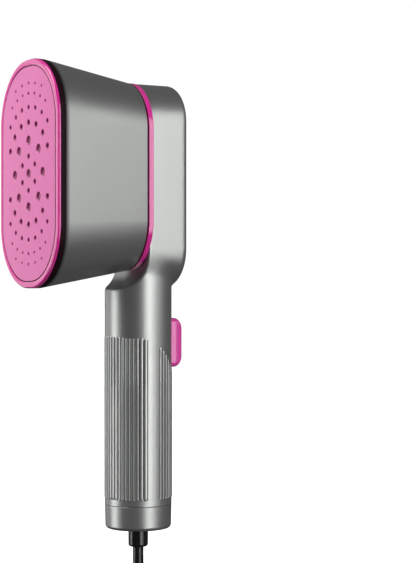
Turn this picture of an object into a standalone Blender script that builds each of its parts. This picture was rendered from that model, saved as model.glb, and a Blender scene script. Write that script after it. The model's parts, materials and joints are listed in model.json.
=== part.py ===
"""Hand-held garment steamer: a round ribbed handle, a back housing, and a steam head that swivels.

Frame, in metres: +Z up along the handle, -Y towards the steam plate, +Y towards the button.
The origin is on the handle's axis, at the middle of the grip.
"""
from math import atan2, cos, pi, radians, sin

import bmesh
import bpy
from mathutils import Matrix, Vector

GAP = 0.0003  # left between pieces that touch or slide

# Handle
HANDLE_R = 0.020
HANDLE_WALL = 0.0024
SEAM_Z = -0.0517
RIB_BOTTOM_Z = -0.0484
RIB_TOP_FRONT_Z = 0.0492
RIB_TOP_BACK_Z = 0.0230
RIB_PITCH = radians(7.5)
RIB_GROOVE_DEPTH = 0.0006
RIB_GROOVE_WIDTH = 0.0011
NECK_TOP_Z = 0.1005

# Back housing: a stadium seen from the front
SLAB_R = 0.023
SLAB_TOP_Z = 0.199
SLAB_FRONT_Y = -0.005
SLAB_BACK_Y = 0.022
SLAB_WALL = 0.0024
SLAB_BACK_FILLET = 0.0045
SLAB_UPPER_Z = SLAB_TOP_Z - SLAB_R
SLAB_LOWER_Z = 0.1005
COVER_LOW_Z = 0.1120
COVER_BACK_Y = -0.0024
PILOT_R = 0.0015
POST_X = 0.0145
POST_RISE = 0.022
POST_R = 0.0032

# Steam head
AXIS_Z = 0.1432
PLATE_HALF_LENGTH = 0.0662
PLATE_HALF_WIDTH = 0.0405
PLATE_CORNER_R = 0.0375
PLATE_FRONT_Y = -0.0718
PLATE_THICK = 0.0019
SHELL_FRONT_Y = -0.0670
SHELL_BACK_Y = -0.0096
SHELL_WALL = 0.0021
RING_HALF_LENGTH = 0.0560
RING_HALF_WIDTH = 0.0300
RING_FRONT_Y = -0.0093
RING_BACK_Y = -0.0055
GASKET_WIDTH = 0.0042
CHAMBER_HALF_LENGTH = 0.058
CHAMBER_HALF_WIDTH = 0.0325
CHAMBER_FRONT_Y = -0.0683
CHAMBER_BACK_Y = -0.0580
CHAMBER_POCKET = 0.0058
CHAMBER_RIM = 0.0030
# rings of steam holes: radius of the ring, hole radius, angles from the long axis
STEAM_HOLES = (
    (0.0000, 0.0030, (0,)),
    (0.0099, 0.00195, tuple(range(0, 360, 60))),
    (0.0193, 0.00305, tuple(range(0, 360, 45))),
    (0.0295, 0.0022, (-61, -41, -20.5, 0, 20.5, 41, 61)),
    (0.0384, 0.0017, (-42, -28, -14, 0, 14, 28, 42)),
    (0.0463, 0.00115, (-30, -20, -10, 0, 10, 20, 30)),
    (0.0523, 0.00105, (-20, -10, 0, 10, 20)),
)
STEAM_JET_R = 0.0006
WHOLE_RING_R = 0.0250  # rings wider than this are only at the plate's two ends
TANK_HALF_LENGTH = 0.0345
TANK_HALF_WIDTH = 0.0240
TANK_CORNER_R = 0.0080
TANK_RISE = 0.0105
TANK_FRONT_Y = -0.0460
TANK_BACK_Y = -0.0200
TANK_WALL = 0.0016
FILLER_Y = -0.0330
FILLER_RISE = 0.0120
PUMP_LOW = -0.0450
PUMP_HIGH = -0.0290

# Swivel
SPIGOT_R = 0.0120
SPIGOT_BORE_R = 0.0080
BUSH_R = 0.0142
LOOM_R = 0.0035
DETENT_RISE = 0.0225

# Steam button
BUTTON_LOW_Z = 0.0295
BUTTON_HIGH_Z = 0.0591
BUTTON_HALF_WIDTH = 0.0076
BUTTON_FACE_Y = 0.0264
BUTTON_CROWN = 0.0026
BUTTON_CORNER_R = 0.0032
BUTTON_FLANGE_Y = 0.0124
BUTTON_FLANGE_THICK = 0.0018
BUTTON_FLANGE_HALF_WIDTH = 0.0093
BUTTON_FLANGE_MARGIN = 0.0022
BUTTON_MID_Z = (BUTTON_LOW_Z + BUTTON_HIGH_Z) / 2
CARRIER_Y = 0.0040
CARRIER_THICK = 0.0020
SPRING_Z = BUTTON_MID_Z + 0.0060
BOARD_THICK = 0.0016
BOARD_BACK_Y = CARRIER_Y - GAP
PARTS_BACK_Y = BOARD_BACK_Y - BOARD_THICK - GAP

# End cap, strain relief and mains cord
CAP_BOTTOM_Z = -0.0663
CAP_FILLET = 0.0023
CAP_FLOOR_THICK = 0.0032
CAP_COLLAR_HEIGHT = 0.0055
CAP_COLLAR_THICK = 0.0020
RELIEF_R = 0.00605
RELIEF_TIP_R = 0.0059
RELIEF_TIP_ROUND = 0.0016
RELIEF_FLANGE_R = 0.0085
RELIEF_FLANGE_THICK = 0.0022
RELIEF_TOP_Z = -0.0550
RELIEF_BOTTOM_Z = -0.0776
CORD_R = 0.0032
FLOOR_Z = -0.1507
COIL_INNER_TURN_R = 0.0270
COIL_OUTER_TURN_R = 0.0398
COIL_LAYERS = 4
COIL_CENTRE = Vector((0.0, -0.0717, 0.0))
COIL_LIFT = 0.0011
TIE_THICK = 0.0008
TIE_WIDTH = 0.0080
# along the hanging cord: distance out from the handle's axis, height
LEAD_ROUTE = (
    (0.0, RELIEF_BOTTOM_Z - GAP), (0.0, -0.0860), (0.0, -0.0940), (0.0026, -0.1062),
    (0.0098, -0.1173), (0.0206, -0.1247), (0.0330, -0.1272), (0.0360, -0.1272),
)
LEAD_DIRECTION = radians(236.3)
# along the floor from the coil to the plug
TAIL_ROUTE = (
    (0.0291, -0.0354), (0.0260, -0.0270), (0.0228, -0.0185), (0.0185, -0.0108), (0.0122, -0.0046),
    (0.0043, -0.0005), (-0.0041, 0.0009), (-0.0090, 0.0009),
)
PLUG_LENGTH = 0.028
PLUG_WIDTH = 0.022
PLUG_THICK = 0.016
PLUG_TAIL_LENGTH = 0.013
PIN_SPACING = 0.0127
PIN_LENGTH = 0.017
PIN_THICK = 0.0015
PIN_WIDTH = 0.0062


def clear_scene():
    for item in list(bpy.data.objects):
        bpy.data.objects.remove(item, do_unlink=True)


def material(name, colour, roughness, metallic=0.0):
    made = bpy.data.materials.new(name)
    made.use_nodes = True
    shader = made.node_tree.nodes["Principled BSDF"]
    shader.inputs["Base Color"].default_value = (*colour, 1.0)
    shader.inputs["Roughness"].default_value = roughness
    shader.inputs["Metallic"].default_value = metallic
    return made


GREY = ("satin_grey", (0.36, 0.37, 0.36), 0.35, 0.7)
PINK = ("fuchsia", (0.75, 0.03, 0.28), 0.22, 0.0)
BLACK = ("black_plastic", (0.015, 0.015, 0.017), 0.35, 0.0)
RUBBER = ("black_rubber", (0.02, 0.02, 0.02), 0.6, 0.0)
SILICONE = ("silicone", (0.55, 0.52, 0.48), 0.6, 0.0)
ALLOY = ("cast_alloy", (0.6, 0.6, 0.6), 0.4, 1.0)
STEEL = ("steel", (0.65, 0.65, 0.65), 0.3, 1.0)
BRASS = ("brass", (0.7, 0.5, 0.2), 0.3, 1.0)
NYLON = ("white_nylon", (0.75, 0.74, 0.70), 0.5, 0.0)
BOARD = ("circuit_board", (0.03, 0.20, 0.08), 0.5, 0.0)
TANK = ("tank_plastic", (0.55, 0.60, 0.62), 0.3, 0.0)


def make_object(name, mesh, look):
    """A finished object with its own material, shaded smooth except at its edges."""
    made = bpy.data.objects.new(name, mesh)
    bpy.context.scene.collection.objects.link(made)
    made.data.materials.append(material(name + "_" + look[0], *look[1:]))
    if isinstance(mesh, bpy.types.Mesh):
        mesh.shade_smooth()
        mesh.set_sharp_from_angle(angle=radians(32))
    return made


def mesh_from(build):
    """The mesh that build() fills in a new bmesh, with its faces pointing out."""
    shape = bmesh.new()
    build(shape)
    bmesh.ops.recalc_face_normals(shape, faces=shape.faces)
    mesh = bpy.data.meshes.new("shape")
    shape.to_mesh(mesh)
    shape.free()
    return mesh


def loft(*loops):
    """A closed solid through loops of the same number of points, capped at both ends."""
    def build(shape):
        rings = [[shape.verts.new(point) for point in loop] for loop in loops]
        count = len(rings[0])
        for low, high in zip(rings, rings[1:]):
            for i in range(count):
                j = (i + 1) % count
                shape.faces.new((low[i], low[j], high[j], high[i]))
        shape.faces.new(rings[0])
        shape.faces.new(list(reversed(rings[-1])))
    return mesh_from(build)


def lathe(profile, segments=40, closed=False):
    """A turned solid about +Z. profile lists (radius, height); closed joins its last point to its first."""
    def build(shape):
        rings = []
        for radius, height in profile:
            if radius == 0:
                rings.append([shape.verts.new((0, 0, height))] * segments)
                continue
            turn = [2 * pi * i / segments for i in range(segments)]
            rings.append([shape.verts.new((radius * cos(a), radius * sin(a), height)) for a in turn])
        pairs = list(zip(rings, rings[1:]))
        if closed:
            pairs.append((rings[-1], rings[0]))
        for low, high in pairs:
            for i in range(segments):
                j = (i + 1) % segments
                corners = []
                for vert in (low[i], low[j], high[j], high[i]):
                    if vert not in corners:
                        corners.append(vert)
                shape.faces.new(corners)
    return mesh_from(build)


def along_y(mesh, x=0.0, y=0.0, z=0.0):
    """Turn a lathe's mesh so that its +Z lies along +Y, and move it."""
    mesh.transform(Matrix.Translation((x, y, z)) @ Matrix.Rotation(-pi / 2, 4, "X"))
    return mesh


def tube_profile(bore, outer, low, high):
    return [(bore, low), (outer, low), (outer, high), (bore, high)]


def rod_profile(radius, low, high):
    return [(0, low), (radius, low), (radius, high), (0, high)]


def stadium(half_length, half_width, corner_r, y, centre_z=AXIS_Z, steps=10):
    """A rounded rectangle in the plane y, long side up."""
    points = []
    corners = ((1, 1, 0), (-1, 1, 90), (-1, -1, 180), (1, -1, 270))
    for side_x, side_z, start in corners:
        for i in range(steps + 1):
            angle = radians(start + 90 * i / steps)
            x = side_x * (half_width - corner_r) + corner_r * cos(angle)
            z = side_z * (half_length - corner_r) + corner_r * sin(angle)
            points.append((x, y, centre_z + z))
    return without_repeats(points)


def without_repeats(points):
    kept = []
    for point in points:
        if not kept or (Vector(point) - Vector(kept[-1])).length > 1e-6:
            kept.append(point)
    if (Vector(kept[0]) - Vector(kept[-1])).length < 1e-6:
        kept.pop()
    return kept


def stadium_prism(half_length, half_width, corner_r, low_y, high_y, centre_z=AXIS_Z, steps=10):
    shape = (half_length, half_width, corner_r)
    return loft(stadium(*shape, low_y, centre_z, steps), stadium(*shape, high_y, centre_z, steps))


def box(low, high):
    (x0, y0, z0), (x1, y1, z1) = low, high
    return loft([(x0, y0, z0), (x1, y0, z0), (x1, y1, z0), (x0, y1, z0)],
                [(x0, y0, z1), (x1, y0, z1), (x1, y1, z1), (x0, y1, z1)])


def boolean(target, mesh, operation="DIFFERENCE"):
    """Cut or join a mesh with an exact Boolean; the tool object stays hidden."""
    tool = bpy.data.objects.new(target.name + "_tool", mesh)
    bpy.context.scene.collection.objects.link(tool)
    tool.hide_render = True
    tool.display_type = "WIRE"
    modifier = target.modifiers.new(operation.lower(), "BOOLEAN")
    modifier.object = tool
    modifier.operation = operation
    modifier.solver = "EXACT"


def joined(meshes):
    """Several separate meshes as one, for a single cutter."""
    shape = bmesh.new()
    for mesh in meshes:
        shape.from_mesh(mesh)
    made = bpy.data.meshes.new("joined")
    shape.to_mesh(made)
    shape.free()
    return made


def bevel(target, width, segments=2, angle=40):
    modifier = target.modifiers.new("bevel", "BEVEL")
    modifier.width = width
    modifier.segments = segments
    modifier.limit_method = "ANGLE"
    modifier.angle_limit = radians(angle)


def smooth_route(points, step):
    """Points a step apart on a smooth curve through the route's own points."""
    points = [Vector(point) for point in points]
    ends = [points[0] * 2 - points[1], *points, points[-1] * 2 - points[-2]]
    dense = []
    for before, start, end, after in zip(ends, ends[1:], ends[2:], ends[3:]):
        for i in range(24):
            t = i / 24
            bend = (before * 2 - start * 5 + end * 4 - after) * t * t
            turn = (start * 3 - before - end * 3 + after) * t ** 3
            dense.append((start * 2 + (end - before) * t + bend + turn) / 2)
    dense.append(points[-1])
    total = sum((b - a).length for a, b in zip(dense, dense[1:]))
    count = max(2, round(total / step))
    kept = [dense[0]]
    walked = 0.0
    for a, b in zip(dense, dense[1:]):
        walked += (b - a).length
        if walked >= len(kept) * total / count - 1e-9:
            kept.append(b)
    kept[-1] = dense[-1]
    return kept


def tube(name, points, radius, look, resolution=2):
    """A cord, hose or wire: a poly curve with filled caps."""
    curve = bpy.data.curves.new(name, "CURVE")
    curve.dimensions = "3D"
    curve.bevel_depth = radius
    curve.bevel_resolution = resolution
    curve.use_fill_caps = True
    spline = curve.splines.new("POLY")
    spline.points.add(len(points) - 1)
    for point, place in zip(spline.points, points):
        point.co = (*place, 1.0)
    return make_object(name, curve, look)


def helix(radius, low, high, turns, steps=10):
    """Points of a compression spring along +Y, with flat first and last turns."""
    points = []
    for i in range(turns * steps + 1):
        share = i / (turns * steps)
        rise = min(1.0, max(0.0, (share * turns - 0.7) / (turns - 1.4)))
        angle = 2 * pi * share * turns
        points.append(Vector((radius * cos(angle), low + (high - low) * rise, radius * sin(angle))))
    return points


# ---------------------------------------------------------------- handle and back housing

def rib_top(angle):
    """Height of the rib tops at an angle from the front, dipping towards the button."""
    share = (1 - cos(angle)) / 2
    return RIB_TOP_FRONT_Z + (RIB_TOP_BACK_Z - RIB_TOP_FRONT_Z) * share ** 1.6


def rib_grooves():
    """Shallow upright grooves all round the grip, except for a smooth strip at each side."""
    grooves = []
    for k in range(48):
        angle = (k + 0.5) * RIB_PITCH
        from_side = abs(abs((angle + pi) % (2 * pi) - pi) - pi / 2)
        if from_side < radians(11):
            continue
        low = RIB_BOTTOM_Z
        high = rib_top(angle)
        deep = HANDLE_R - RIB_GROOVE_DEPTH
        half = RIB_GROOVE_WIDTH / 2
        section = [(0, -deep), (half * 1.3, -HANDLE_R - 0.001), (-half * 1.3, -HANDLE_R - 0.001)]
        groove = loft([(x, y, low) for x, y in section], [(x, y, high) for x, y in section])
        groove.transform(Matrix.Rotation(angle, 4, "Z"))
        grooves.append(groove)
    return joined(grooves)


def slab_outline(inset, y):
    """The back housing's stadium, a given inset from its outline."""
    centre = (SLAB_UPPER_Z + SLAB_LOWER_Z) / 2
    half = (SLAB_UPPER_Z - SLAB_LOWER_Z) / 2 + SLAB_R - inset
    return stadium(half, SLAB_R - inset, SLAB_R - inset, y, centre, 12)


def slab_solid(inset, front_y, back_y, fillet):
    """The back housing with its rear edge rounded."""
    loops = [slab_outline(inset, front_y)]
    for i in range(5):
        angle = radians(90 * i / 4)
        loops.append(slab_outline(inset + fillet * (1 - cos(angle)), back_y - fillet * (1 - sin(angle))))
    return loft(*loops)


def scoop_solid():
    """What is cut from the front of the neck: a shelf that curves up into the housing's face."""
    edge = [(-0.030, 0.0733), (-0.0200, 0.0762), (-0.0163, 0.0775), (-0.0115, 0.0796)]
    middle_y, middle_z, radius = -0.0140, 0.0882, 0.0090
    for i in range(7):
        angle = radians(-68 + 68 * i / 6)
        edge.append((middle_y + radius * cos(angle), middle_z + radius * sin(angle)))
    edge += [(SLAB_FRONT_Y, 0.1100), (-0.030, 0.1100)]
    return loft([(-0.030, y, z) for y, z in edge], [(0.030, y, z) for y, z in edge])


def handle_shell():
    outer = lathe(rod_profile(HANDLE_R, SEAM_Z, NECK_TOP_Z), 96)
    shell = make_object("handle_shell", outer, GREY)
    boolean(shell, scoop_solid())
    boolean(shell, slab_solid(0, SLAB_FRONT_Y, SLAB_BACK_Y, SLAB_BACK_FILLET), "UNION")
    bore_top = 0.0770
    bore_r = HANDLE_R - HANDLE_WALL
    boolean(shell, lathe([(0, SEAM_Z - 0.01), (bore_r, SEAM_Z - 0.01), (bore_r, 0.0640),
                          (0.012, bore_top), (0, bore_top)], 48))
    boolean(shell, housing_hollow())
    boolean(shell, box((-0.0105, 0.0035, 0.060), (0.0105, 0.0150, 0.100)))
    boolean(shell, button_opening())
    boolean(shell, joined([screw_post(x, z) for x, z in post_places()]), "UNION")
    boolean(shell, joined([along_y(lathe(rod_profile(PILOT_R, -0.004, 0.0080), 12), x, 0, z)
                           for x, z in post_places()]))
    boolean(shell, rib_grooves())
    return shell


def housing_hollow():
    """The hollow of the back housing, open at the front, above the neck."""
    wall = SLAB_WALL
    centre = (SLAB_UPPER_Z + COVER_LOW_Z) / 2
    half = (SLAB_UPPER_Z - COVER_LOW_Z) / 2 + SLAB_R - wall
    width = SLAB_R - wall
    return stadium_prism(half, width, width, SLAB_FRONT_Y - 0.01, SLAB_BACK_Y - wall, centre, 12)


def post_places():
    return [(x, AXIS_Z + z) for x in (-POST_X, POST_X) for z in (-POST_RISE, POST_RISE)]


def screw_post(x, z):
    return along_y(lathe(rod_profile(POST_R, -0.0020, SLAB_BACK_Y - 0.001), 16), x, 0, z)


def button_outline(half_width, low, high, corner, steps=4):
    """The button's rounded rectangle as (x, z) pairs."""
    middle = (low + high) / 2
    points = stadium((high - low) / 2, half_width, corner, 0, middle, steps)
    return [(x, z) for x, _, z in points]


def button_opening():
    low, high = BUTTON_LOW_Z - GAP, BUTTON_HIGH_Z + GAP
    outline = button_outline(BUTTON_HALF_WIDTH + GAP, low, high, BUTTON_CORNER_R)
    return loft(*[[(x, y, z) for x, z in outline] for y in (HANDLE_R / 2, HANDLE_R * 1.5)])


def front_plate():
    """Closes the back housing and carries the swivel bush."""
    inset = SLAB_WALL + GAP
    centre = (SLAB_UPPER_Z + COVER_LOW_Z) / 2
    half = (SLAB_UPPER_Z - COVER_LOW_Z) / 2 + SLAB_R - inset
    width = SLAB_R - inset
    solid = stadium_prism(half, width, width, SLAB_FRONT_Y, COVER_BACK_Y, centre, 12)
    plate = make_object("front_plate", solid, GREY)
    plunger_r, sink_r, sink_y = 0.0024, 0.0030, -0.0034
    holes = [along_y(lathe(rod_profile(BUSH_R + GAP, -0.01, 0.01), 40), 0, 0, AXIS_Z)]
    holes.append(along_y(lathe(rod_profile(plunger_r, -0.01, 0.01), 12), 0, 0, AXIS_Z + DETENT_RISE))
    sink = [(0, -0.01), (sink_r, -0.01), (sink_r, sink_y), (PILOT_R, sink_y), (PILOT_R, 0.001), (0, 0.001)]
    for x, z in post_places():
        holes.append(along_y(lathe(sink, 16), x, 0, z))
    boolean(plate, joined(holes))
    return plate


def screw(name, x, z, head_y, head_thick, shank_end_y, head_r=0.0026, shank_r=0.0012):
    """A pan-head screw along +Y with a cross slot in its head."""
    under_head = head_y + head_thick
    profile = [(0, head_y), (head_r * 0.8, head_y), (head_r, head_y + head_thick * 0.4), (head_r, under_head),
               (shank_r, under_head), (shank_r, shank_end_y - 0.001), (0, shank_end_y)]
    made = make_object(name, along_y(lathe(profile, 14), x, 0, z), STEEL)
    slot = 0.0004
    reach = head_r * 0.6
    cross = [box((x - slot, head_y - 0.001, z - reach), (x + slot, head_y + 0.0006, z + reach)),
             box((x - reach, head_y - 0.001, z - slot), (x + reach, head_y + 0.00055, z + slot))]
    boolean(made, cross[0])
    boolean(made, cross[1])
    return made


def end_cap():
    """Closes the grip's lower end: a cup with a collar that plugs into the handle."""
    collar_r = HANDLE_R - HANDLE_WALL - GAP
    inner_r = collar_r - CAP_COLLAR_THICK
    top = SEAM_Z + CAP_COLLAR_HEIGHT
    floor = CAP_BOTTOM_Z + CAP_FLOOR_THICK
    profile = [(RELIEF_R + GAP, CAP_BOTTOM_Z)]
    for i in range(5):
        angle = radians(90 * i / 4)
        profile.append((HANDLE_R - GAP - CAP_FILLET * (1 - sin(angle)),
                        CAP_BOTTOM_Z + CAP_FILLET * (1 - cos(angle))))
    profile += [(HANDLE_R, SEAM_Z - GAP), (collar_r, SEAM_Z - GAP), (collar_r, top), (inner_r, top),
                (inner_r, floor), (RELIEF_R + GAP, floor)]
    return make_object("end_cap", lathe(profile, 48, closed=True), GREY)


def strain_relief():
    """Tapered moulding where the cord leaves the cap, with a flange that holds it inside."""
    flange_low = CAP_BOTTOM_Z + CAP_FLOOR_THICK + GAP
    flange_high = flange_low + RELIEF_FLANGE_THICK
    neck_r = RELIEF_R - 0.0005
    profile = [(0, RELIEF_BOTTOM_Z)]
    for i in range(4):
        angle = radians(90 * i / 3)
        radius = RELIEF_TIP_R - RELIEF_TIP_ROUND * (1 - sin(angle))
        profile.append((radius, RELIEF_BOTTOM_Z + RELIEF_TIP_ROUND * (1 - cos(angle))))
    profile += [(RELIEF_R, CAP_BOTTOM_Z), (RELIEF_R, flange_low), (RELIEF_FLANGE_R, flange_low),
                (RELIEF_FLANGE_R, flange_high), (neck_r, flange_high), (neck_r, RELIEF_TOP_Z),
                (0, RELIEF_TOP_Z)]
    return make_object("strain_relief", lathe(profile, 32), BLACK)


def cord_clamp():
    """Saddle that grips the strain relief's upper end, held by two screws."""
    low = RELIEF_TOP_Z + GAP
    clamp = make_object("cord_clamp", box((-0.0125, -0.0045, low), (0.0125, 0.0045, low + 0.0045)), NYLON)
    boolean(clamp, lathe(rod_profile(LOOM_R, low - 0.01, low + 0.01), 24))
    bevel(clamp, 0.0006, 1)
    return clamp


def board_carrier():
    """Upright chassis inside the handle that holds the board on one face and the switch on the other."""
    front, back = CARRIER_Y, CARRIER_Y + CARRIER_THICK
    half_width, pin_r, pin_reach = 0.0135, 0.0022, 0.0022
    sheet = box((-half_width, front, -0.0420), (half_width, back, 0.0560))
    carrier = make_object("board_carrier", sheet, NYLON)
    boolean(carrier, box((-0.0060, front - 0.01, -0.0340), (0.0060, back + 0.01, -0.0100)))
    pin = lathe(rod_profile(pin_r, back - 0.0004, back + pin_reach), 16)
    boolean(carrier, along_y(pin, 0, 0, SPRING_Z), "UNION")
    return carrier


def control_board():
    solid = box((-0.0120, BOARD_BACK_Y - BOARD_THICK, -0.0380), (0.0120, BOARD_BACK_Y, 0.0500))
    return make_object("control_board", solid, BOARD)


def power_relay():
    solid = box((-0.0060, PARTS_BACK_Y - 0.0095, 0.0120), (0.0060, PARTS_BACK_Y, 0.0290))
    relay = make_object("power_relay", solid, BLACK)
    bevel(relay, 0.0008, 1)
    return relay


def power_capacitor():
    radius, height, edge = 0.0045, 0.0110, 0.0005
    profile = [(0, 0), (radius - edge, 0), (radius, edge), (radius, height - edge), (radius - edge, height),
               (0, height)]
    can = along_y(lathe(profile, 20), 0, PARTS_BACK_Y - height, -0.0060)
    return make_object("power_capacitor", can, ALLOY)


def microswitch():
    """Snap switch that the button's flange presses at the end of its travel."""
    low = CARRIER_Y + CARRIER_THICK + GAP
    switch = make_object("microswitch", box((-0.0030, low, 0.0300), (0.0030, 0.0096, 0.0410)), BLACK)
    bevel(switch, 0.0004, 1)
    return switch


def steam_button():
    """Rounded push button with a flange that keeps it behind the handle's wall."""
    def ring(inset, y):
        low, high = BUTTON_LOW_Z + inset, BUTTON_HIGH_Z - inset
        pairs = button_outline(BUTTON_HALF_WIDTH - inset, low, high, BUTTON_CORNER_R - inset * 0.6)
        return [(x, y, z) for x, z in pairs]

    loops = [ring(0, BUTTON_FLANGE_Y), ring(0, BUTTON_FACE_Y - BUTTON_CROWN)]
    for i in range(1, 5):
        angle = radians(90 * i / 4)
        y = BUTTON_FACE_Y - BUTTON_CROWN * (1 - sin(angle))
        loops.append(ring(BUTTON_CROWN * 0.9 * (1 - cos(angle)), y))
    made = make_object("steam_button", loft(*loops), PINK)
    low, high = BUTTON_LOW_Z - BUTTON_FLANGE_MARGIN, BUTTON_HIGH_Z + BUTTON_FLANGE_MARGIN
    half_width = BUTTON_FLANGE_HALF_WIDTH
    back = BUTTON_FLANGE_Y + BUTTON_FLANGE_THICK
    boolean(made, box((-half_width, BUTTON_FLANGE_Y, low), (half_width, back, high)), "UNION")
    return made


def button_spring():
    """Return spring between the carrier and the button's flange."""
    wire_r, turn_r, turns = 0.0004, 0.0032, 4
    low = CARRIER_Y + CARRIER_THICK + 2 * wire_r
    high = BUTTON_FLANGE_Y - 2 * wire_r
    points = [point + Vector((0, 0, SPRING_Z)) for point in helix(turn_r, low, high, turns)]
    return tube("button_spring", points, wire_r, STEEL, 1)


def internal_wires():
    """Mains wires from the cord clamp up to the board's lower edge."""
    route = [(0, 0, RELIEF_TOP_Z + 3 * GAP), (0, 0, -0.0500), (0, -0.0012, -0.0450), (0, -0.0050, -0.0380),
             (0, -0.0068, -0.0280), (0, -0.0068, -0.0180)]
    return tube("internal_wires", smooth_route(route, 0.004), 0.0028, RUBBER)


# ---------------------------------------------------------------- swivel

def swivel_bush():
    """Flanged nylon bearing in the front plate."""
    inner = SPIGOT_R + GAP
    flange_r = 0.0185
    flange_y = COVER_BACK_Y + GAP
    back = flange_y + 0.0015
    profile = [(inner, SLAB_FRONT_Y), (BUSH_R, SLAB_FRONT_Y), (BUSH_R, flange_y), (flange_r, flange_y),
               (flange_r, back), (inner, back)]
    return make_object("swivel_bush", along_y(lathe(profile, 32, closed=True), 0, 0, AXIS_Z), NYLON)


def swivel_spigot():
    """Hollow shaft that the head turns on; its flange sits inside the head's shell."""
    flange_r, flange_thick, end_y = 0.0175, 0.0014, 0.0042
    back = SHELL_BACK_Y - SHELL_WALL - GAP
    front = back - flange_thick
    profile = [(SPIGOT_BORE_R, front), (flange_r, front), (flange_r, back), (SPIGOT_R, back),
               (SPIGOT_R, end_y), (SPIGOT_BORE_R, end_y)]
    return make_object("swivel_spigot", along_y(lathe(profile, 32, closed=True), 0, 0, AXIS_Z), NYLON)


def spigot_retainer():
    """Steel ring that holds the spigot in the bush."""
    profile = tube_profile(SPIGOT_R + GAP, 0.0165, -0.0006 + GAP, 0.0009)
    return make_object("spigot_retainer", along_y(lathe(profile, 32, closed=True), 0, 0, AXIS_Z), STEEL)


def swivel_ring():
    """Coloured plate between the head and the housing, following the head's outline."""
    shape = (RING_HALF_LENGTH, RING_HALF_WIDTH, RING_HALF_WIDTH)
    ring = make_object("swivel_ring", stadium_prism(*shape, RING_FRONT_Y, RING_BACK_Y), PINK)
    boolean(ring, along_y(lathe(rod_profile(SPIGOT_R + GAP, -0.02, 0.01), 40), 0, 0, AXIS_Z))
    bevel(ring, 0.0005, 1)
    return ring


def detent_plunger():
    """Spring-loaded pin that clicks into the ring at each end of the swivel."""
    profile = [(0, -0.0052), (0.0012, -0.0050), (0.0020, -0.0040), (0.0020, -0.0014), (0.0032, -0.0014),
               (0.0032, 0.0000), (0, 0.0000)]
    return make_object("detent_plunger", along_y(lathe(profile, 16), 0, 0, AXIS_Z + DETENT_RISE), STEEL)


def detent_spring():
    """Pushes the plunger forward from the housing's back wall."""
    wire_r, turn_r, turns = 0.0004, 0.0024, 5
    lift = Vector((0, 0, AXIS_Z + DETENT_RISE))
    high = SLAB_BACK_Y - SLAB_WALL - 2 * wire_r
    points = [point + lift for point in helix(turn_r, 2 * wire_r, high, turns, 8)]
    return tube("detent_spring", points, wire_r, STEEL, 1)


def head_wires():
    """Wires along the hollow spigot, from the housing into the head."""
    route = [(0, -0.0170, AXIS_Z), (0, -0.0050, AXIS_Z), (0, 0.0060, AXIS_Z), (0, 0.0098, AXIS_Z - 0.0020),
             (0, 0.0116, AXIS_Z - 0.0065), (0, 0.0120, AXIS_Z - 0.0150), (0, 0.0115, AXIS_Z - 0.0400),
             (0, 0.0095, AXIS_Z - 0.0620), (0, 0.0095, AXIS_Z - 0.0720)]
    return tube("head_wires", smooth_route(route, 0.004), 0.0026, RUBBER)


# ---------------------------------------------------------------- steam head

def steam_plate():
    """Flat face plate with rings of funnel-shaped steam holes."""
    shape = (PLATE_HALF_LENGTH, PLATE_HALF_WIDTH, PLATE_CORNER_R)
    edge = 0.0006
    inner = tuple(size - edge for size in shape)
    solid = loft(stadium(*inner, PLATE_FRONT_Y), stadium(*shape, PLATE_FRONT_Y + edge),
                 stadium(*shape, PLATE_FRONT_Y + PLATE_THICK))
    plate = make_object("steam_plate", solid, PINK)
    boolean(plate, joined([steam_hole(*place) for place in steam_hole_places()]))
    return plate


def steam_hole_places():
    """Each hole's x, z and radius; the outer rings repeat at both ends of the plate."""
    places = []
    for ring_r, hole_r, angles in STEAM_HOLES:
        ends = (0,) if ring_r < WHOLE_RING_R else (0, 180)
        for end in ends:
            for angle in angles:
                turn = radians(angle + end)
                places.append((ring_r * sin(turn), AXIS_Z + ring_r * cos(turn), hole_r))
    return places


def steam_hole(x, z, hole_r):
    """A cutter: a funnel that narrows to the steam jet at the plate's back."""
    past = 0.0004
    front = PLATE_FRONT_Y - past
    back = PLATE_FRONT_Y + PLATE_THICK + past
    sides = 10 if hole_r > 3 * STEAM_JET_R else 6
    return along_y(lathe([(0, front), (hole_r, front), (STEAM_JET_R, back), (0, back)], sides), x, 0, z)


def head_gasket():
    """Black seal between the plate and the shell."""
    low = PLATE_FRONT_Y + PLATE_THICK + GAP
    high = SHELL_FRONT_Y - GAP
    shape = (PLATE_HALF_LENGTH, PLATE_HALF_WIDTH, PLATE_CORNER_R)
    inner = tuple(size - GASKET_WIDTH for size in shape)
    seal = make_object("head_gasket", stadium_prism(*shape, low, high), RUBBER)
    boolean(seal, stadium_prism(*inner, low - 0.01, high + 0.01))
    return seal


def shell_loop(y, inset):
    """The head shell's outline at y: it narrows from the plate to the ring."""
    share = (y - SHELL_FRONT_Y) / (SHELL_BACK_Y - SHELL_FRONT_Y)
    length = PLATE_HALF_LENGTH + (RING_HALF_LENGTH - PLATE_HALF_LENGTH) * share - inset
    width = PLATE_HALF_WIDTH + (RING_HALF_WIDTH - PLATE_HALF_WIDTH) * share - inset
    corner = PLATE_CORNER_R + (RING_HALF_WIDTH - PLATE_CORNER_R) * share - inset
    return stadium(length, width, min(corner, width - 0.0001), y)


def head_shell():
    """Tapered cover of the steam head, open at the front, with the filler hole in one side."""
    shell = make_object("head_shell", loft(shell_loop(SHELL_FRONT_Y, 0), shell_loop(SHELL_BACK_Y, 0)), GREY)
    boolean(shell, loft(shell_loop(SHELL_FRONT_Y - 0.01, SHELL_WALL),
                        shell_loop(SHELL_BACK_Y - SHELL_WALL, SHELL_WALL)))
    boolean(shell, along_y(lathe(rod_profile(SPIGOT_R + GAP, -0.02, 0.0), 40), 0, 0, AXIS_Z))
    boolean(shell, filler_part(rod_profile(0.0080 + GAP, -0.0040, 0.0040), 32))
    return shell


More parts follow.
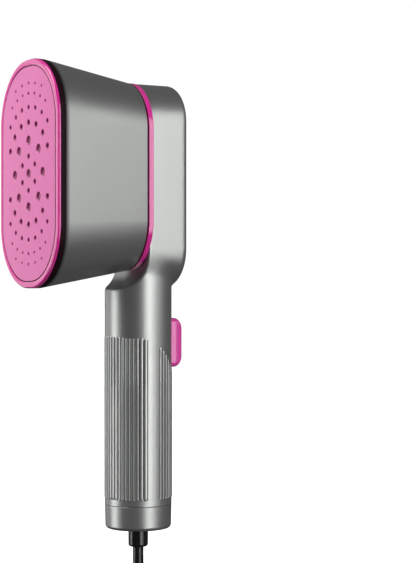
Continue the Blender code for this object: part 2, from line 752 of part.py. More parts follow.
def filler_part(profile, segments, closed=False):
    """A turned mesh about the filler's axis, which stands square to the shell's -X side."""
    lean = atan2(PLATE_HALF_WIDTH - RING_HALF_WIDTH, SHELL_BACK_Y - SHELL_FRONT_Y)
    share = (FILLER_Y - SHELL_FRONT_Y) / (SHELL_BACK_Y - SHELL_FRONT_Y)
    surface_x = -(PLATE_HALF_WIDTH + (RING_HALF_WIDTH - PLATE_HALF_WIDTH) * share)
    outward = Vector((-cos(lean), sin(lean), 0))
    turn = Vector((0, 0, 1)).rotation_difference(outward).to_matrix().to_4x4()
    mesh = lathe(profile, segments, closed)
    mesh.transform(Matrix.Translation((surface_x, FILLER_Y, AXIS_Z + FILLER_RISE)) @ turn)
    return mesh


def water_tank():
    """Hollow tank behind the heater, with a filler neck towards the plug."""
    centre = AXIS_Z + TANK_RISE
    shape = (TANK_HALF_LENGTH, TANK_HALF_WIDTH, TANK_CORNER_R)
    inside = tuple(size - TANK_WALL for size in shape)
    tank = make_object("water_tank", stadium_prism(*shape, TANK_FRONT_Y, TANK_BACK_Y, centre, 4), TANK)
    boolean(tank, filler_part(rod_profile(0.0072, -0.0150, -0.0030), 24), "UNION")
    boolean(tank, stadium_prism(*inside, TANK_FRONT_Y + TANK_WALL, TANK_BACK_Y - TANK_WALL, centre, 4))
    boolean(tank, filler_part(rod_profile(0.0054, -0.0160, 0.0), 24))
    return tank


def tank_plug():
    """Push-in filler plug, flush with the shell, with a finger groove round its stem."""
    profile = [(0, 0.0003), (0.0072, 0.0003), (0.0080, -0.0004), (0.0080, -0.0022), (0.0050, -0.0026),
               (0.0050, -0.0082), (0.0044, -0.0090), (0, -0.0090)]
    return make_object("tank_plug", filler_part(profile, 32), RUBBER)


def steam_chamber():
    """Cast alloy heating chamber: a shallow pan behind the plate."""
    shape = (CHAMBER_HALF_LENGTH, CHAMBER_HALF_WIDTH, CHAMBER_HALF_WIDTH - 0.001)
    pocket = tuple(size - CHAMBER_RIM for size in shape)
    chamber = make_object("steam_chamber", stadium_prism(*shape, CHAMBER_FRONT_Y, CHAMBER_BACK_Y), ALLOY)
    boolean(chamber, stadium_prism(*pocket, CHAMBER_FRONT_Y - 0.01, CHAMBER_FRONT_Y + CHAMBER_POCKET))
    thread = rod_profile(0.0017, CHAMBER_BACK_Y - 0.0038, CHAMBER_BACK_Y + 0.01)
    boolean(chamber, joined([along_y(lathe(thread, 12), x, 0, z) for x, z in chamber_screw_places()]))
    boolean(chamber, along_y(lathe(rod_profile(0.0012, -0.07, -0.05), 12), 0, 0, AXIS_Z - 0.0430))
    return chamber


def chamber_screw_places():
    return [(x, AXIS_Z + z) for x in (-0.020, 0.020) for z in (-0.036, 0.036)]


def chamber_seal():
    """Silicone ring between the chamber's rim and the plate."""
    low = PLATE_FRONT_Y + PLATE_THICK + GAP
    high = CHAMBER_FRONT_Y - GAP
    outer = (CHAMBER_HALF_LENGTH - 0.0002, CHAMBER_HALF_WIDTH - 0.0002, CHAMBER_HALF_WIDTH - 0.0012)
    inner = tuple(size - CHAMBER_RIM + 0.0004 for size in outer)
    seal = make_object("chamber_seal", stadium_prism(*outer, low, high), SILICONE)
    boolean(seal, stadium_prism(*inner, low - 0.01, high + 0.01))
    return seal


def heating_element():
    """Sheathed U-shaped heater clamped on the chamber's back."""
    radius = 0.0032
    y = CHAMBER_BACK_Y + GAP + radius
    leg_x = 0.0120
    points = [Vector((-leg_x, y, AXIS_Z - 0.0330)), Vector((-leg_x, y, AXIS_Z - 0.0100))]
    for i in range(13):
        angle = pi - pi * i / 12
        points.append(Vector((leg_x * cos(angle), y, AXIS_Z + 0.0220 + leg_x * sin(angle))))
    points += [Vector((leg_x, y, AXIS_Z - 0.0100)), Vector((leg_x, y, AXIS_Z - 0.0330))]
    return tube("heating_element", points, radius, STEEL)


def thermostat():
    """Snap-disc thermostat on the chamber's back."""
    y = CHAMBER_BACK_Y + GAP
    disc_r, cap_r = 0.0070, 0.0055
    profile = [(0, 0), (disc_r, 0), (disc_r, 0.0030), (cap_r, 0.0034), (cap_r, 0.0056), (0, 0.0056)]
    return make_object("thermostat", along_y(lathe(profile, 24), 0, y, AXIS_Z), ALLOY)


def thermal_fuse():
    """Sealed capsule that lies across the chamber's back."""
    radius, half, shoulder = 0.0019, 0.0065, 0.0050
    profile = [(0, -half), (0.0012, -0.0062), (radius, -shoulder), (radius, shoulder), (0.0012, 0.0062),
               (0, half)]
    mesh = lathe(profile, 14)
    mesh.transform(Matrix.Translation((0, CHAMBER_BACK_Y + GAP + 0.0020, AXIS_Z - 0.0200)))
    return make_object("thermal_fuse", mesh, NYLON)


def water_pump():
    """Small solenoid pump below the tank."""
    corners = (-0.0110, TANK_FRONT_Y, AXIS_Z + PUMP_LOW), (0.0110, -0.0220, AXIS_Z + PUMP_HIGH)
    pump = make_object("water_pump", box(*corners), BLACK)
    bevel(pump, 0.0015, 2)
    return pump


def tank_hose():
    """Short hose from the tank's lower wall to the pump's inlet."""
    top = AXIS_Z + TANK_RISE - TANK_HALF_LENGTH - GAP
    bottom = AXIS_Z + PUMP_HIGH + GAP
    points = [Vector((0.004, -0.034, z)) for z in (bottom, (top + bottom) / 2, top)]
    return tube("tank_hose", points, 0.0024, SILICONE)


def steam_hose():
    """Hose from the pump's outlet to the chamber's inlet."""
    z = AXIS_Z - 0.0430
    points = [Vector((0, y, z)) for y in (TANK_FRONT_Y - GAP, -0.0520, CHAMBER_BACK_Y + GAP)]
    return tube("steam_hose", points, 0.0019, SILICONE)


# ---------------------------------------------------------------- mains cord and plug

def cord_lead():
    """The hanging stretch, which bends to meet the coil."""
    out = Vector((cos(LEAD_DIRECTION), sin(LEAD_DIRECTION), 0))
    route = [out * reach + Vector((0, 0, z)) for reach, z in LEAD_ROUTE]
    return tube("cord_lead", smooth_route(route, 0.007), CORD_R, RUBBER)


def cord_coil():
    """The outer shape of the coil: a ring as high as its layers."""
    inner = COIL_INNER_TURN_R - CORD_R
    outer = COIL_OUTER_TURN_R + CORD_R
    low = FLOOR_Z + COIL_LIFT
    high = low + 2 * COIL_LAYERS * CORD_R
    edge = 0.0020
    profile = [(inner, low + edge), (inner + edge, low), (outer - edge, low), (outer, low + edge),
               (outer, high - edge), (outer - edge, high), (inner + edge, high), (inner, high - edge)]
    mesh = lathe(profile, 32, closed=True)
    mesh.transform(Matrix.Translation(COIL_CENTRE))
    return make_object("cord_coil", mesh, RUBBER)


def cord_tie():
    """Strap round the coil."""
    half = TIE_WIDTH / 2
    inner = ((COIL_INNER_TURN_R - CORD_R) ** 2 - half ** 2) ** 0.5 - GAP
    outer = COIL_OUTER_TURN_R + CORD_R + GAP
    low = FLOOR_Z + COIL_LIFT - GAP
    high = low + 2 * COIL_LAYERS * CORD_R + 2 * GAP

    def band(grow, width):
        return box((-outer - grow, -width, low - grow), (-inner + grow, width, high + grow))

    tie = make_object("cord_tie", band(TIE_THICK, half), BLACK)
    cut = band(0, half + 0.01)
    for mesh in (tie.data, cut):
        mesh.transform(Matrix.Translation(COIL_CENTRE) @ Matrix.Rotation(radians(60), 4, "Z"))
    boolean(tie, cut)
    return tie


def cord_tail():
    """From the coil's lowest turn along the floor to the plug."""
    z = FLOOR_Z + CORD_R + COIL_LIFT
    route = [(x, y, z) for x, y in TAIL_ROUTE]
    return tube("cord_tail", smooth_route(route, 0.007), CORD_R, RUBBER)


def plug_body():
    """Moulded plug with a tapered tail, lying flat beside the coil."""
    z = FLOOR_Z + PLUG_THICK / 2
    x = TAIL_ROUTE[-1][0] - GAP
    tail_z = FLOOR_Z + CORD_R + COIL_LIFT
    tail = ((0.0, 0.0044, 0.0040, tail_z), (0.4, 0.0052, 0.0044, tail_z), (0.8, 0.0064, 0.0052, z - 0.0020),
            (1.0, 0.0080, 0.0064, z))
    loops = [plug_section(x - share * PLUG_TAIL_LENGTH, *size) for share, *size in tail]
    body_x = x - PLUG_TAIL_LENGTH
    for reach, shrink in ((0.002, 0.0006), (0.006, 0.0), (PLUG_LENGTH - 0.0015, 0.0), (PLUG_LENGTH, 0.0012)):
        loops.append(plug_section(body_x - reach, PLUG_WIDTH / 2 - shrink, PLUG_THICK / 2 - shrink, z))
    return make_object("plug_body", loft(*loops), BLACK)


def plug_section(x, half_y, half_z, mid_z):
    corner = min(half_y, half_z) * 0.62
    outline = stadium(half_z, half_y, corner, 0, 0, 4)
    return [(x, TAIL_ROUTE[-1][1] + across, mid_z + up) for across, _, up in outline]


def plug_pin(name, side):
    """A flat blade of the plug, with its tip chamfered."""
    face_x = TAIL_ROUTE[-1][0] - GAP - PLUG_TAIL_LENGTH - PLUG_LENGTH - GAP
    z = FLOOR_Z + PLUG_THICK / 2
    y = TAIL_ROUTE[-1][1] + side * PIN_SPACING / 2
    half_y, half_z = PIN_THICK / 2, PIN_WIDTH / 2
    blade = box((face_x - PIN_LENGTH, y - half_y, z - half_z), (face_x, y + half_y, z + half_z))
    pin = make_object(name, blade, BRASS)
    bevel(pin, 0.0003, 1)
    return pin


def place_on_axis(children, name, place):
    """An empty on a joint's axis that carries the pieces which move on it."""
    empty = bpy.data.objects.new(name, None)
    empty.location = place
    bpy.context.scene.collection.objects.link(empty)
    bpy.context.view_layer.update()
    for child in children:
        child.parent = empty
        child.matrix_parent_inverse = empty.matrix_world.inverted()


def build_handle():
    pieces = [handle_shell(), front_plate(), end_cap(), strain_relief(), cord_clamp(), board_carrier(),
              control_board(), power_relay(), power_capacitor(), microswitch(), internal_wires(),
              head_wires(), swivel_bush(), detent_plunger(), detent_spring()]
    for number, (x, z) in enumerate(post_places(), 1):
        pieces.append(screw(f"plate_screw_{number}", x, z, -0.0048, 0.0011, 0.0060))
    return pieces


def build_head():
    pieces = [swivel_ring(), swivel_spigot(), spigot_retainer(), head_shell(), head_gasket(),
              steam_plate(), steam_chamber(), chamber_seal(), heating_element(), thermostat(),
              thermal_fuse(), water_tank(), water_pump(), tank_hose(), steam_hose()]
    for number, (x, z) in enumerate(chamber_screw_places(), 1):
        made = screw(f"chamber_screw_{number}", 0, 0, 0, 0.0018, 0.0052, 0.0030, 0.0014)
        flip = Matrix.Translation((x, CHAMBER_BACK_Y + GAP + 0.0018, z)) @ Matrix.Rotation(pi, 4, "Z")
        made.data.transform(flip)
        for modifier in made.modifiers:
            modifier.object.data.transform(flip)
        pieces.append(made)
    return pieces


def main():
    clear_scene()
    build_handle()
    place_on_axis([*build_head(), tank_plug()], "head_axis", (0, 0, AXIS_Z))
    place_on_axis([steam_button()], "button_axis", (0, BUTTON_FACE_Y, BUTTON_MID_Z))
    button_spring()
    cord_lead()
    cord_coil()
    cord_tie()
    cord_tail()
    plug_body()
    plug_pin("plug_pin_1", -1)
    plug_pin("plug_pin_2", 1)


main()
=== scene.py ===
import json
from math import atan2, cos, pi, radians, sin

import bmesh
import bpy
import numpy as np
from mathutils import Matrix, Vector


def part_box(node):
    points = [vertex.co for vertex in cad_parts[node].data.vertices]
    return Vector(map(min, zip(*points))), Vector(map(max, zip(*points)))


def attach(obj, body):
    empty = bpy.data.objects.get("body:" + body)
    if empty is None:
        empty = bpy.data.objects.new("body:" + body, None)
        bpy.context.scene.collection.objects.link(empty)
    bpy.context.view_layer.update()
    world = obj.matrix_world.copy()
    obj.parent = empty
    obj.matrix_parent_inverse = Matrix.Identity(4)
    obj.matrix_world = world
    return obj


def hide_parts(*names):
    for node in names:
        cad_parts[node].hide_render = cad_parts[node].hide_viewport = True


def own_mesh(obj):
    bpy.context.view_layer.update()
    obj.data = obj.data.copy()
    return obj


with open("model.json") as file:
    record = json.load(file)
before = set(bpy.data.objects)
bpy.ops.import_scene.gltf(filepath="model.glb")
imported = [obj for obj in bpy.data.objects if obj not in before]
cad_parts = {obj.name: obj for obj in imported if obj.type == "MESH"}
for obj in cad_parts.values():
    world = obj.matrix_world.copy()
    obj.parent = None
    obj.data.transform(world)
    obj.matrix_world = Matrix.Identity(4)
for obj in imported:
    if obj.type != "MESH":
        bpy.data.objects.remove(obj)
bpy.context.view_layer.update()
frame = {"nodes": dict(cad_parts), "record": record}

# ---- places read from the frame

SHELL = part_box("handle_shell")
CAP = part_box("end_cap")
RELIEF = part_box("strain_relief")
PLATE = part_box("steam_plate")
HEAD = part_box("head_shell")
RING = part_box("swivel_ring")
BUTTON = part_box("steam_button")
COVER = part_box("front_plate")
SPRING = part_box("button_spring")
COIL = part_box("cord_coil")
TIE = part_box("cord_tie")
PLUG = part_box("plug_body")

AXIS_Z = (RING[0][2] + RING[1][2]) / 2
FLOOR_Z = TIE[0][2]

# handle and back housing
HANDLE_R = CAP[1][0]
HANDLE_WALL = 0.0024
SEAM_Z = SHELL[0][2]
RIB_COUNT = 48
RIB_BOTTOM_Z = -0.0484
RIB_TOPS = (  # degrees from the front, height
    (0, 0.0492), (69, 0.0476), (83, 0.0469), (107, 0.0418), (115, 0.0397), (123, 0.0371),
    (130, 0.0343), (157, 0.0260), (180, 0.0230),
)
RIB_TOP_SAG = 0.0008
RIB_BOTTOM_LIFT = 0.0006
RIB_FADE = 0.0011
RIB_CREST = 0.0003
RIB_VALLEY = 0.0009
RIB_SQUARENESS = 6
RIB_COLUMNS = (-0.5, -0.46, -0.42, -0.37, -0.28, 0.0, 0.28, 0.37, 0.42, 0.46)
SMOOTH_STRIP = radians(11)
MIDDLE_ROWS = (-0.040, -0.030, -0.020, -0.010, 0.0, 0.010)
FINE_ROW_STEP = 0.0003
ROW_STEP = 0.0004
ROWS_PAST_BOTTOM = 0.0024
ROWS_BELOW_TOP = 0.0030
ROWS_PAST_TOP = 0.0012
GRIP_TOP_Z = 0.0600
LAP = 0.004
SLAB_R = SHELL[1][0]
SLAB_UPPER_Z = SHELL[1][2] - SLAB_R
SLAB_LOWER_Z = 0.1005
SLAB_FRONT_Y = COVER[0][1]
SLAB_BACK_Y = SHELL[1][1]
SLAB_START_Y = -0.030
SLAB_WALL = 0.0024
SLAB_BACK_FILLET = 0.0045
SLAB_FRONT_FILLET = 0.0012
NECK_FILLET = 0.0030
NECK_BACK_FILLET = 0.0017
NECK_FRONT_Y = 0.008
NECK_BACK_Y = 0.015
SCOOP_FILLET = 0.0085
SHELF_POINT = (-0.0200, 0.0762)
SHELF_SLOPE = radians(22)
COVER_LOW_Z = 0.1120
COVER_GAP = 0.00012
COVER_EDGE = 0.0003
BUSH_HOLE_R = 0.0145
DETENT_HOLE_R = 0.0024
DETENT_RISE = 0.0225
SCREW_X = 0.0145
SCREW_RISE = 0.022
SCREW_SHANK_R = 0.0015
SCREW_HEAD_R = 0.0030
SCREW_SEAT_Y = -0.0034

# end cap and cord sleeve
CAP_GAP = 0.0003
CAP_WALL = 0.0020
CAP_FLOOR = 0.0032
CAP_HOLE_R = 0.0062
CAP_HOLE_ROUND = 0.0004
CAP_EDGE_ROUND = 0.0023
CAP_SEAM_ROUND = 0.0003
SLEEVE_R = 0.00605
SLEEVE_TIP_R = 0.0059
SLEEVE_TIP_ROUND = 0.0016
SLEEVE_MOUTH_R = 0.0036
SLEEVE_MOUTH_EDGE = 0.0002
SLEEVE_FLANGE_R = 0.0085
SLEEVE_FLANGE_RISE = 0.0035
SLEEVE_FLANGE_THICK = 0.0022

# button and its return spring
BUTTON_LOW_Z = 0.0295
BUTTON_HIGH_Z = 0.0591
BUTTON_HALF_WIDTH = 0.0076
BUTTON_CORNER_R = 0.0032
BUTTON_GAP = 0.00025
SPRING_WIRE_R = 0.0004
SPRING_TURNS = 4
BUTTON_END_ROUND = 0.0050
BUTTON_SIDE_ROUND = 0.0016
BUTTON_FLANGE_MARGIN = 0.0022
BUTTON_FLANGE_HALF_WIDTH = 0.0093
BUTTON_FLANGE_CORNER_R = 0.0030
BUTTON_FLANGE_THICK = 0.0018

# steam head
PLATE_HALF_LENGTH = (PLATE[1][2] - PLATE[0][2]) / 2
PLATE_HALF_WIDTH = PLATE[1][0]
PLATE_CORNER_R = 0.0375
RING_HALF_LENGTH = (RING[1][2] - RING[0][2]) / 2
RING_HALF_WIDTH = RING[1][0]
GROOVE_INSET = 0.0039
GROOVE_HALF_WIDTH = 0.0003
PLATE_EDGE = 0.0011
SEAL_WIDTH = 0.0042
FINE_EDGE = 0.0005
EDGE_SHADE_START = -0.0004
EDGE_SHADE_END = 0.0034
RING_GAP_DEPTH = 0.0009
RING_GAP_WIDTH = 0.0005
SHELL_WALL = 0.0021
SPIGOT_HOLE_R = 0.0123
HOLE_FIELD_HALF_WIDTH = 0.0345
HOLE_FIELD_HALF_LENGTH = 0.0600
WHOLE_RING_R = 0.025
HOLE_LIP_DEPTH = 0.00030
STEAM_HOLES = (  # ring radius, hole radius, degrees round the ring
    (0.0000, 0.0030, (0,)),
    (0.0099, 0.00195, tuple(range(0, 360, 60))),
    (0.0193, 0.00305, tuple(range(0, 360, 45))),
    (0.0295, 0.0022, (-61, -41, -20.5, 0, 20.5, 41, 61)),
    (0.0384, 0.0017, (-42, -28, -14, 0, 14, 28, 42)),
    (0.0463, 0.00115, (-30, -20, -10, 0, 10, 20, 30)),
    (0.0523, 0.00105, (-20, -10, 0, 10, 20)),
)
FILLER_Y = -0.0330
FILLER_RISE = 0.0120
FILLER_SEAT_R = 0.0082
FILLER_TAB = (  # half length, half width, height over the shell
    (0.0046, 0.0015, -0.0006), (0.0046, 0.0015, 0.0007), (0.0042, 0.0011, 0.0012),
)

# colours of their own, and painted shade for the steam holes, the plate's groove, the ring's gap and the
# head's front edge
TRIM_COLOUR = (1.00, 0.035, 0.42)
PLATE_COLOUR = (1.00, 0.20, 0.56)
# painted shade at the bottom of the steam holes
HOLE_SHADE_COLOUR = (0.34, 0.012, 0.13)
BUTTON_COLOUR = (1.00, 0.085, 0.49)
# painted shade in the plate's groove and the ring's shadow gap
GROOVE_SHADE_COLOUR = (0.16, 0.003, 0.05)
# painted shade along the head shell's front edge, beside the seal
EDGE_SHADE_COLOUR = (0.012, 0.006, 0.009)
SEAL_COLOUR = (0.016, 0.003, 0.008)
STRAP_COLOUR = (0.02, 0.02, 0.02)

GRAINED_SLOTS = {  # roughness, grain per metre, depth, then roughness spread and metallic value
    "grey_rubber": (0.6, 1500, 0.00004),
    "silicone": (0.5, 900, 0.00003),
    "white_nylon": (0.5, 1200, 0.00003),
    "cast_alloy": (0.45, 700, 0.00008, 0.1, 1.0),
    "steel": (0.28, 2500, 0.00001, 0.08, 1.0),
    "brass": (0.25, 2500, 0.00001, 0.08, 1.0),
}

# camera: level, on the +X side of the front, turned a little past the handle
CAMERA_AZIMUTH = radians(62)
CAMERA_DISTANCE = 1.0
CAMERA_Z = 0.081
CAMERA_YAW = radians(2.398)
SENSOR_MM = 36.0
LENS_MM = 106.59

# floor, backdrop and lights
FLOOR_R = 14
FLOOR_DIM_REACH = 0.12
FLOOR_BRIGHT_REACH = 0.45
FLOOR_DIM_GLOW = 0.62
BACKDROP_GLOW = 1.05
ROOM_GLOW = 0.09
LIGHT_AIM_Z = 0.08
SOFT_BOXES = (  # name, azimuth and elevation in degrees, distance, width, height, watts
    ("key_left", -27, 4, 1.3, 0.50, 1.5, 9),
    ("key_front", -72, 8, 1.5, 0.50, 1.2, 2.3),
    ("key_right", 99, 4, 1.3, 0.50, 1.3, 8.6),
    ("key_side", 119, 4, 1.3, 0.18, 1.3, 2.4),
    ("key_back", 140, 16, 1.3, 0.30, 0.7, 1.5),
    ("key_high", -15, 52, 1.4, 0.9, 0.5, 10),
)

# cord: the route repeats the CAD's
CORD_R = 0.0032
COIL_CENTRE = Vector((0.0, -0.0717, 0.0))
COIL_INNER_TURN_R = 0.0270
COIL_OUTER_TURN_R = 0.0398
COIL_LAYERS = 4
COIL_START_ANGLE = radians(146.3)
COIL_END_ANGLE = radians(20)
COIL_TURNS = 8 - (COIL_START_ANGLE - COIL_END_ANGLE) / (2 * pi)
COIL_STEPS_A_TURN = 40
LAYER_CLIMB = 120 / 360
ROUTE_STEP = 0.0028
LEAD_DIRECTION = radians(236.3)
LEAD_ROUTE = (
    (0.0, -0.0779), (0.0, -0.0860), (0.0, -0.0940), (0.0026, -0.1062), (0.0098, -0.1173), (0.0206, -0.1247),
    (0.0330, -0.1272), (0.0360, -0.1272),
)
TAIL_ROUTE = (
    (0.0291, -0.0354), (0.0260, -0.0270), (0.0228, -0.0185), (0.0185, -0.0108), (0.0122, -0.0046),
    (0.0043, -0.0005), (-0.0041, 0.0009), (-0.0090, 0.0009),
)

# strap round the coil
STRAP_THICK = 0.0008
STRAP_WIDTH = 0.0080
STRAP_CORNER_R = 0.0024
STRAP_INNER_GAP = 0.0006
STRAP_OUTER_GAP = 0.0003
STRAP_PLACE = radians(60)

# plug: sections as (reach from its tail end, half width, half height)
TAIL_END_HALF = 0.0036
TAIL_RING_COUNT = 6
TAIL_RING_START = 0.0004
TAIL_RING_PITCH = 0.0016
TAIL_RING_GROWTH = 0.00032
TAIL_RING = (
    (0, 0.0041, 0.0038), (0.0009, 0.0041, 0.0038), (0.0010, 0.0036, 0.0034), (0.0015, 0.0036, 0.0034),
)
PLUG_NECK = (0.0116, 0.0066, 0.0052)
PLUG_NECK_DROP = 0.0020
PLUG_SHOULDER = ((0.0130, 0.0080, 0.0064), (0.0140, 0.0094, 0.0070), (0.0156, 0.0104, 0.0077))
PLUG_HALF_WIDTH = 0.0110
PLUG_HALF_HEIGHT = 0.0080
PLUG_BODY_START = 0.0190
RIDGE_COUNT = 5
RIDGE_START = 0.0220
RIDGE_PITCH = 0.0024
RIDGE_GROOVE = ((0, 0), (0.0004, 0.0004), (0.0010, 0.0004), (0.0014, 0))
PLUG_END = ((0.0396, 0.0110, 0.0080), (0.0405, 0.0107, 0.0077), (0.0410, 0.0100, 0.0070))
PLUG_CORNER_SHARE = 0.62


# ---- objects

def linked(name, data):
    """A new object in the scene."""
    made = bpy.data.objects.new(name, data)
    bpy.context.scene.collection.objects.link(made)
    return made


def baked(piece):
    """The mesh that an object's modifiers make; the object is removed."""
    graph = bpy.context.evaluated_depsgraph_get()
    made = bpy.data.meshes.new_from_object(piece.evaluated_get(graph), depsgraph=graph)
    bpy.data.objects.remove(piece, do_unlink=True)
    return made


# ---- camera, floor and light

def add_camera():
    data = bpy.data.cameras.new("camera")
    data.sensor_width = SENSOR_MM
    data.lens = LENS_MM
    data.clip_start = 0.05
    data.clip_end = 30
    camera = linked("camera", data)
    side, front = sin(CAMERA_AZIMUTH), -cos(CAMERA_AZIMUTH)
    camera.location = (CAMERA_DISTANCE * side, CAMERA_DISTANCE * front, CAMERA_Z)
    look = Matrix.Rotation(-CAMERA_YAW, 3, "Z") @ Vector((-side, -front, 0))
    camera.rotation_euler = look.to_track_quat("-Z", "Y").to_euler()
    bpy.context.scene.camera = camera


def add_floor():
    """A plain pale disc, kept out of reflections so that the casing shows the soft boxes alone."""
    shape = bmesh.new()
    bmesh.ops.create_circle(shape, cap_ends=True, radius=FLOOR_R, segments=96)
    mesh = bpy.data.meshes.new("floor")
    shape.to_mesh(mesh)
    shape.free()
    floor = linked("floor", mesh)
    floor.location.z = FLOOR_Z
    look, tree = new_material("floor", (0.92, 0.92, 0.92), 0.9)
    reach = add_node(tree, "VectorMath", {0: own_space(tree)}, operation="LENGTH")
    glow = add_node(tree, "MapRange", {
        "Value": reach.outputs["Value"], "From Min": FLOOR_DIM_REACH, "From Max": FLOOR_BRIGHT_REACH,
        "To Min": FLOOR_DIM_GLOW, "To Max": BACKDROP_GLOW,
    })
    set_shader(tree, {"Emission Color": (1, 1, 1, 1), "Emission Strength": glow.outputs["Result"]})
    mesh.materials.append(look)
    floor.visible_glossy = False
    floor.visible_diffuse = False


def add_world():
    """White where the camera looks, and a dim grey room for everything else."""
    world = bpy.data.worlds.new("studio")
    world.use_nodes = True
    tree = world.node_tree
    tree.nodes.clear()
    room = add_node(tree, "Background", {"Color": (1, 1, 1, 1), "Strength": ROOM_GLOW})
    seen = add_node(tree, "Background", {"Color": (1, 1, 1, 1), "Strength": BACKDROP_GLOW})
    path = add_node(tree, "LightPath", {})
    choice = {0: path.outputs["Is Camera Ray"], 1: room.outputs[0], 2: seen.outputs[0]}
    add_node(tree, "OutputWorld", {0: add_node(tree, "MixShader", choice).outputs[0]})
    bpy.context.scene.world = world


def add_soft_box(name, azimuth, elevation, distance, width, height, power):
    """A rectangular light that faces the middle of the object. Azimuth 0 is in front, 90 at +X."""
    data = bpy.data.lights.new(name, "AREA")
    data.shape = "RECTANGLE"
    data.size = width
    data.size_y = height
    data.energy = power
    light = linked(name, data)
    turn, lift = radians(azimuth), radians(elevation)
    away = Vector((sin(turn) * cos(lift), -cos(turn) * cos(lift), sin(lift)))
    light.location = Vector((0, 0, LIGHT_AIM_Z)) + away * distance
    light.rotation_euler = (-away).to_track_quat("-Z", "Y").to_euler()
    light.visible_camera = False


def add_lights():
    for box in SOFT_BOXES:
        add_soft_box(*box)


# ---- materials

def set_inputs(node, inputs):
    """Give a node its inputs by name or number: a socket is linked, anything else is a plain value."""
    for name, value in inputs.items():
        if isinstance(value, bpy.types.NodeSocket):
            node.id_data.links.new(value, node.inputs[name])
        else:
            node.inputs[name].default_value = value
    return node


def add_node(tree, kind, inputs, **settings):
    """A new shader node; its settings come first, since they decide which inputs it has."""
    made = tree.nodes.new("ShaderNode" + kind)
    for name, value in settings.items():
        setattr(made, name, value)
    return set_inputs(made, inputs)


def set_shader(tree, inputs):
    return set_inputs(tree.nodes["Principled BSDF"], inputs)


def new_material(name, colour, roughness, metallic=0.0):
    """A Principled material and its node tree."""
    made = bpy.data.materials.new(name)
    made.use_nodes = True
    set_shader(made.node_tree, {"Base Color": (*colour, 1), "Roughness": roughness, "Metallic": metallic})
    return made, made.node_tree


def own_space(tree):
    """Coordinates in the object's own space."""
    return add_node(tree, "TexCoord", {}).outputs["Object"]


def noise(tree, scale, detail=3.0, stretch=(1, 1, 1)):
    """Noise in the object's own space, in features per metre."""
    mapping = add_node(tree, "Mapping", {"Vector": own_space(tree), "Scale": stretch})
    made = add_node(tree, "TexNoise", {"Vector": mapping.outputs[0], "Scale": scale, "Detail": detail})
    return made.outputs["Fac"]


def vary_roughness(tree, source, low, high):
    """Map a 0..1 value onto a range of roughness."""
    made = add_node(tree, "MapRange", {"Value": source, "To Min": low, "To Max": high})
    set_shader(tree, {"Roughness": made.outputs["Result"]})


def mix_colour(tree, factor, first, second):
    """Make the base colour a mix of two; None stands for what it has so far."""
    so_far = tree.nodes["Principled BSDF"].inputs["Base Color"].links
    first, second = [so_far[0].from_socket if colour is None else (*colour, 1) for colour in (first, second)]
    made = add_node(tree, "Mix", {"Factor": factor, "A": first, "B": second}, data_type="RGBA")
    set_shader(tree, {"Base Color": made.outputs["Result"]})


def bump(tree, source, distance, strength=1.0, before=None):
    made = add_node(tree, "Bump", {"Height": source, "Distance": distance, "Strength": strength})
    if before is not None:
        set_inputs(made, {"Normal": before})
    set_shader(tree, {"Normal": made.outputs["Normal"]})
    return made.outputs["Normal"]


def shade(colour, factor):
    return tuple(min(1.0, channel * factor) for channel in colour)


def satin_paint(name, colour, roughness=0.40):
    """Metallic lacquer: fine flakes, a faint orange peel and slightly uneven gloss."""
    made, tree = new_material(name, colour, roughness, 0.85)
    flakes = add_node(tree, "TexVoronoi", {"Vector": own_space(tree), "Scale": 5200})
    mix_colour(tree, flakes.outputs["Distance"], shade(colour, 1.06), shade(colour, 0.90))
    vary_roughness(tree, noise(tree, 55, 5), roughness - 0.035, roughness + 0.045)
    peel = bump(tree, noise(tree, 900, 2), 0.000008, 0.5)
    bump(tree, flakes.outputs["Color"], 0.000006, 0.25, peel)
    return made


def gloss_plastic(name, colour, roughness=0.16, coat=0.6, peel=0.00002):
    """Coloured moulding under a clear lacquer, with faint flow marks and handling haze."""
    made, tree = new_material(name, colour, roughness)
    set_shader(tree, {"Coat Weight": coat, "Coat Roughness": 0.16})
    mix_colour(tree, noise(tree, 38, 4, (1, 1, 0.4)), shade(colour, 0.93), shade(colour, 1.05))
    vary_roughness(tree, noise(tree, 120, 6), roughness - 0.03, roughness + 0.06)
    bump(tree, noise(tree, 700, 2), peel, 0.5)
    return made


def grained(name, colour, roughness, scale, depth, spread=0.05, metallic=0.0, specular=0.5):
    """Matt or satin moulding with a fine spark-eroded grain."""
    made, tree = new_material(name, colour, roughness, metallic)
    set_shader(tree, {"Specular IOR Level": specular})
    grain = noise(tree, scale, 4)
    mix_colour(tree, noise(tree, scale / 30, 3), shade(colour, 0.88), shade(colour, 1.12))
    vary_roughness(tree, grain, roughness - spread, roughness + spread)
    bump(tree, grain, depth, 0.8)
    return made


def fade_along_y(tree, start_y, end_y, curve="LINEAR"):
    """0 in front of start_y and 1 behind end_y."""
    place = add_node(tree, "SeparateXYZ", {0: own_space(tree)}).outputs["Y"]
    fade = add_node(tree, "MapRange", {"Value": place, "From Min": start_y, "From Max": end_y},
                    interpolation_type=curve)
    return fade.outputs["Result"]


def painted_edge_shade(name, colour, front_y):
    """The metallic lacquer, with painted shade fading it to near black along the head's front edge."""
    made = satin_paint(name, colour)
    tree = made.node_tree
    fade = fade_along_y(tree, front_y + EDGE_SHADE_START, front_y + EDGE_SHADE_END, "SMOOTHSTEP")
    # painted shade: the base colour fades to near black towards the front edge
    mix_colour(tree, fade, EDGE_SHADE_COLOUR, None)
    return made


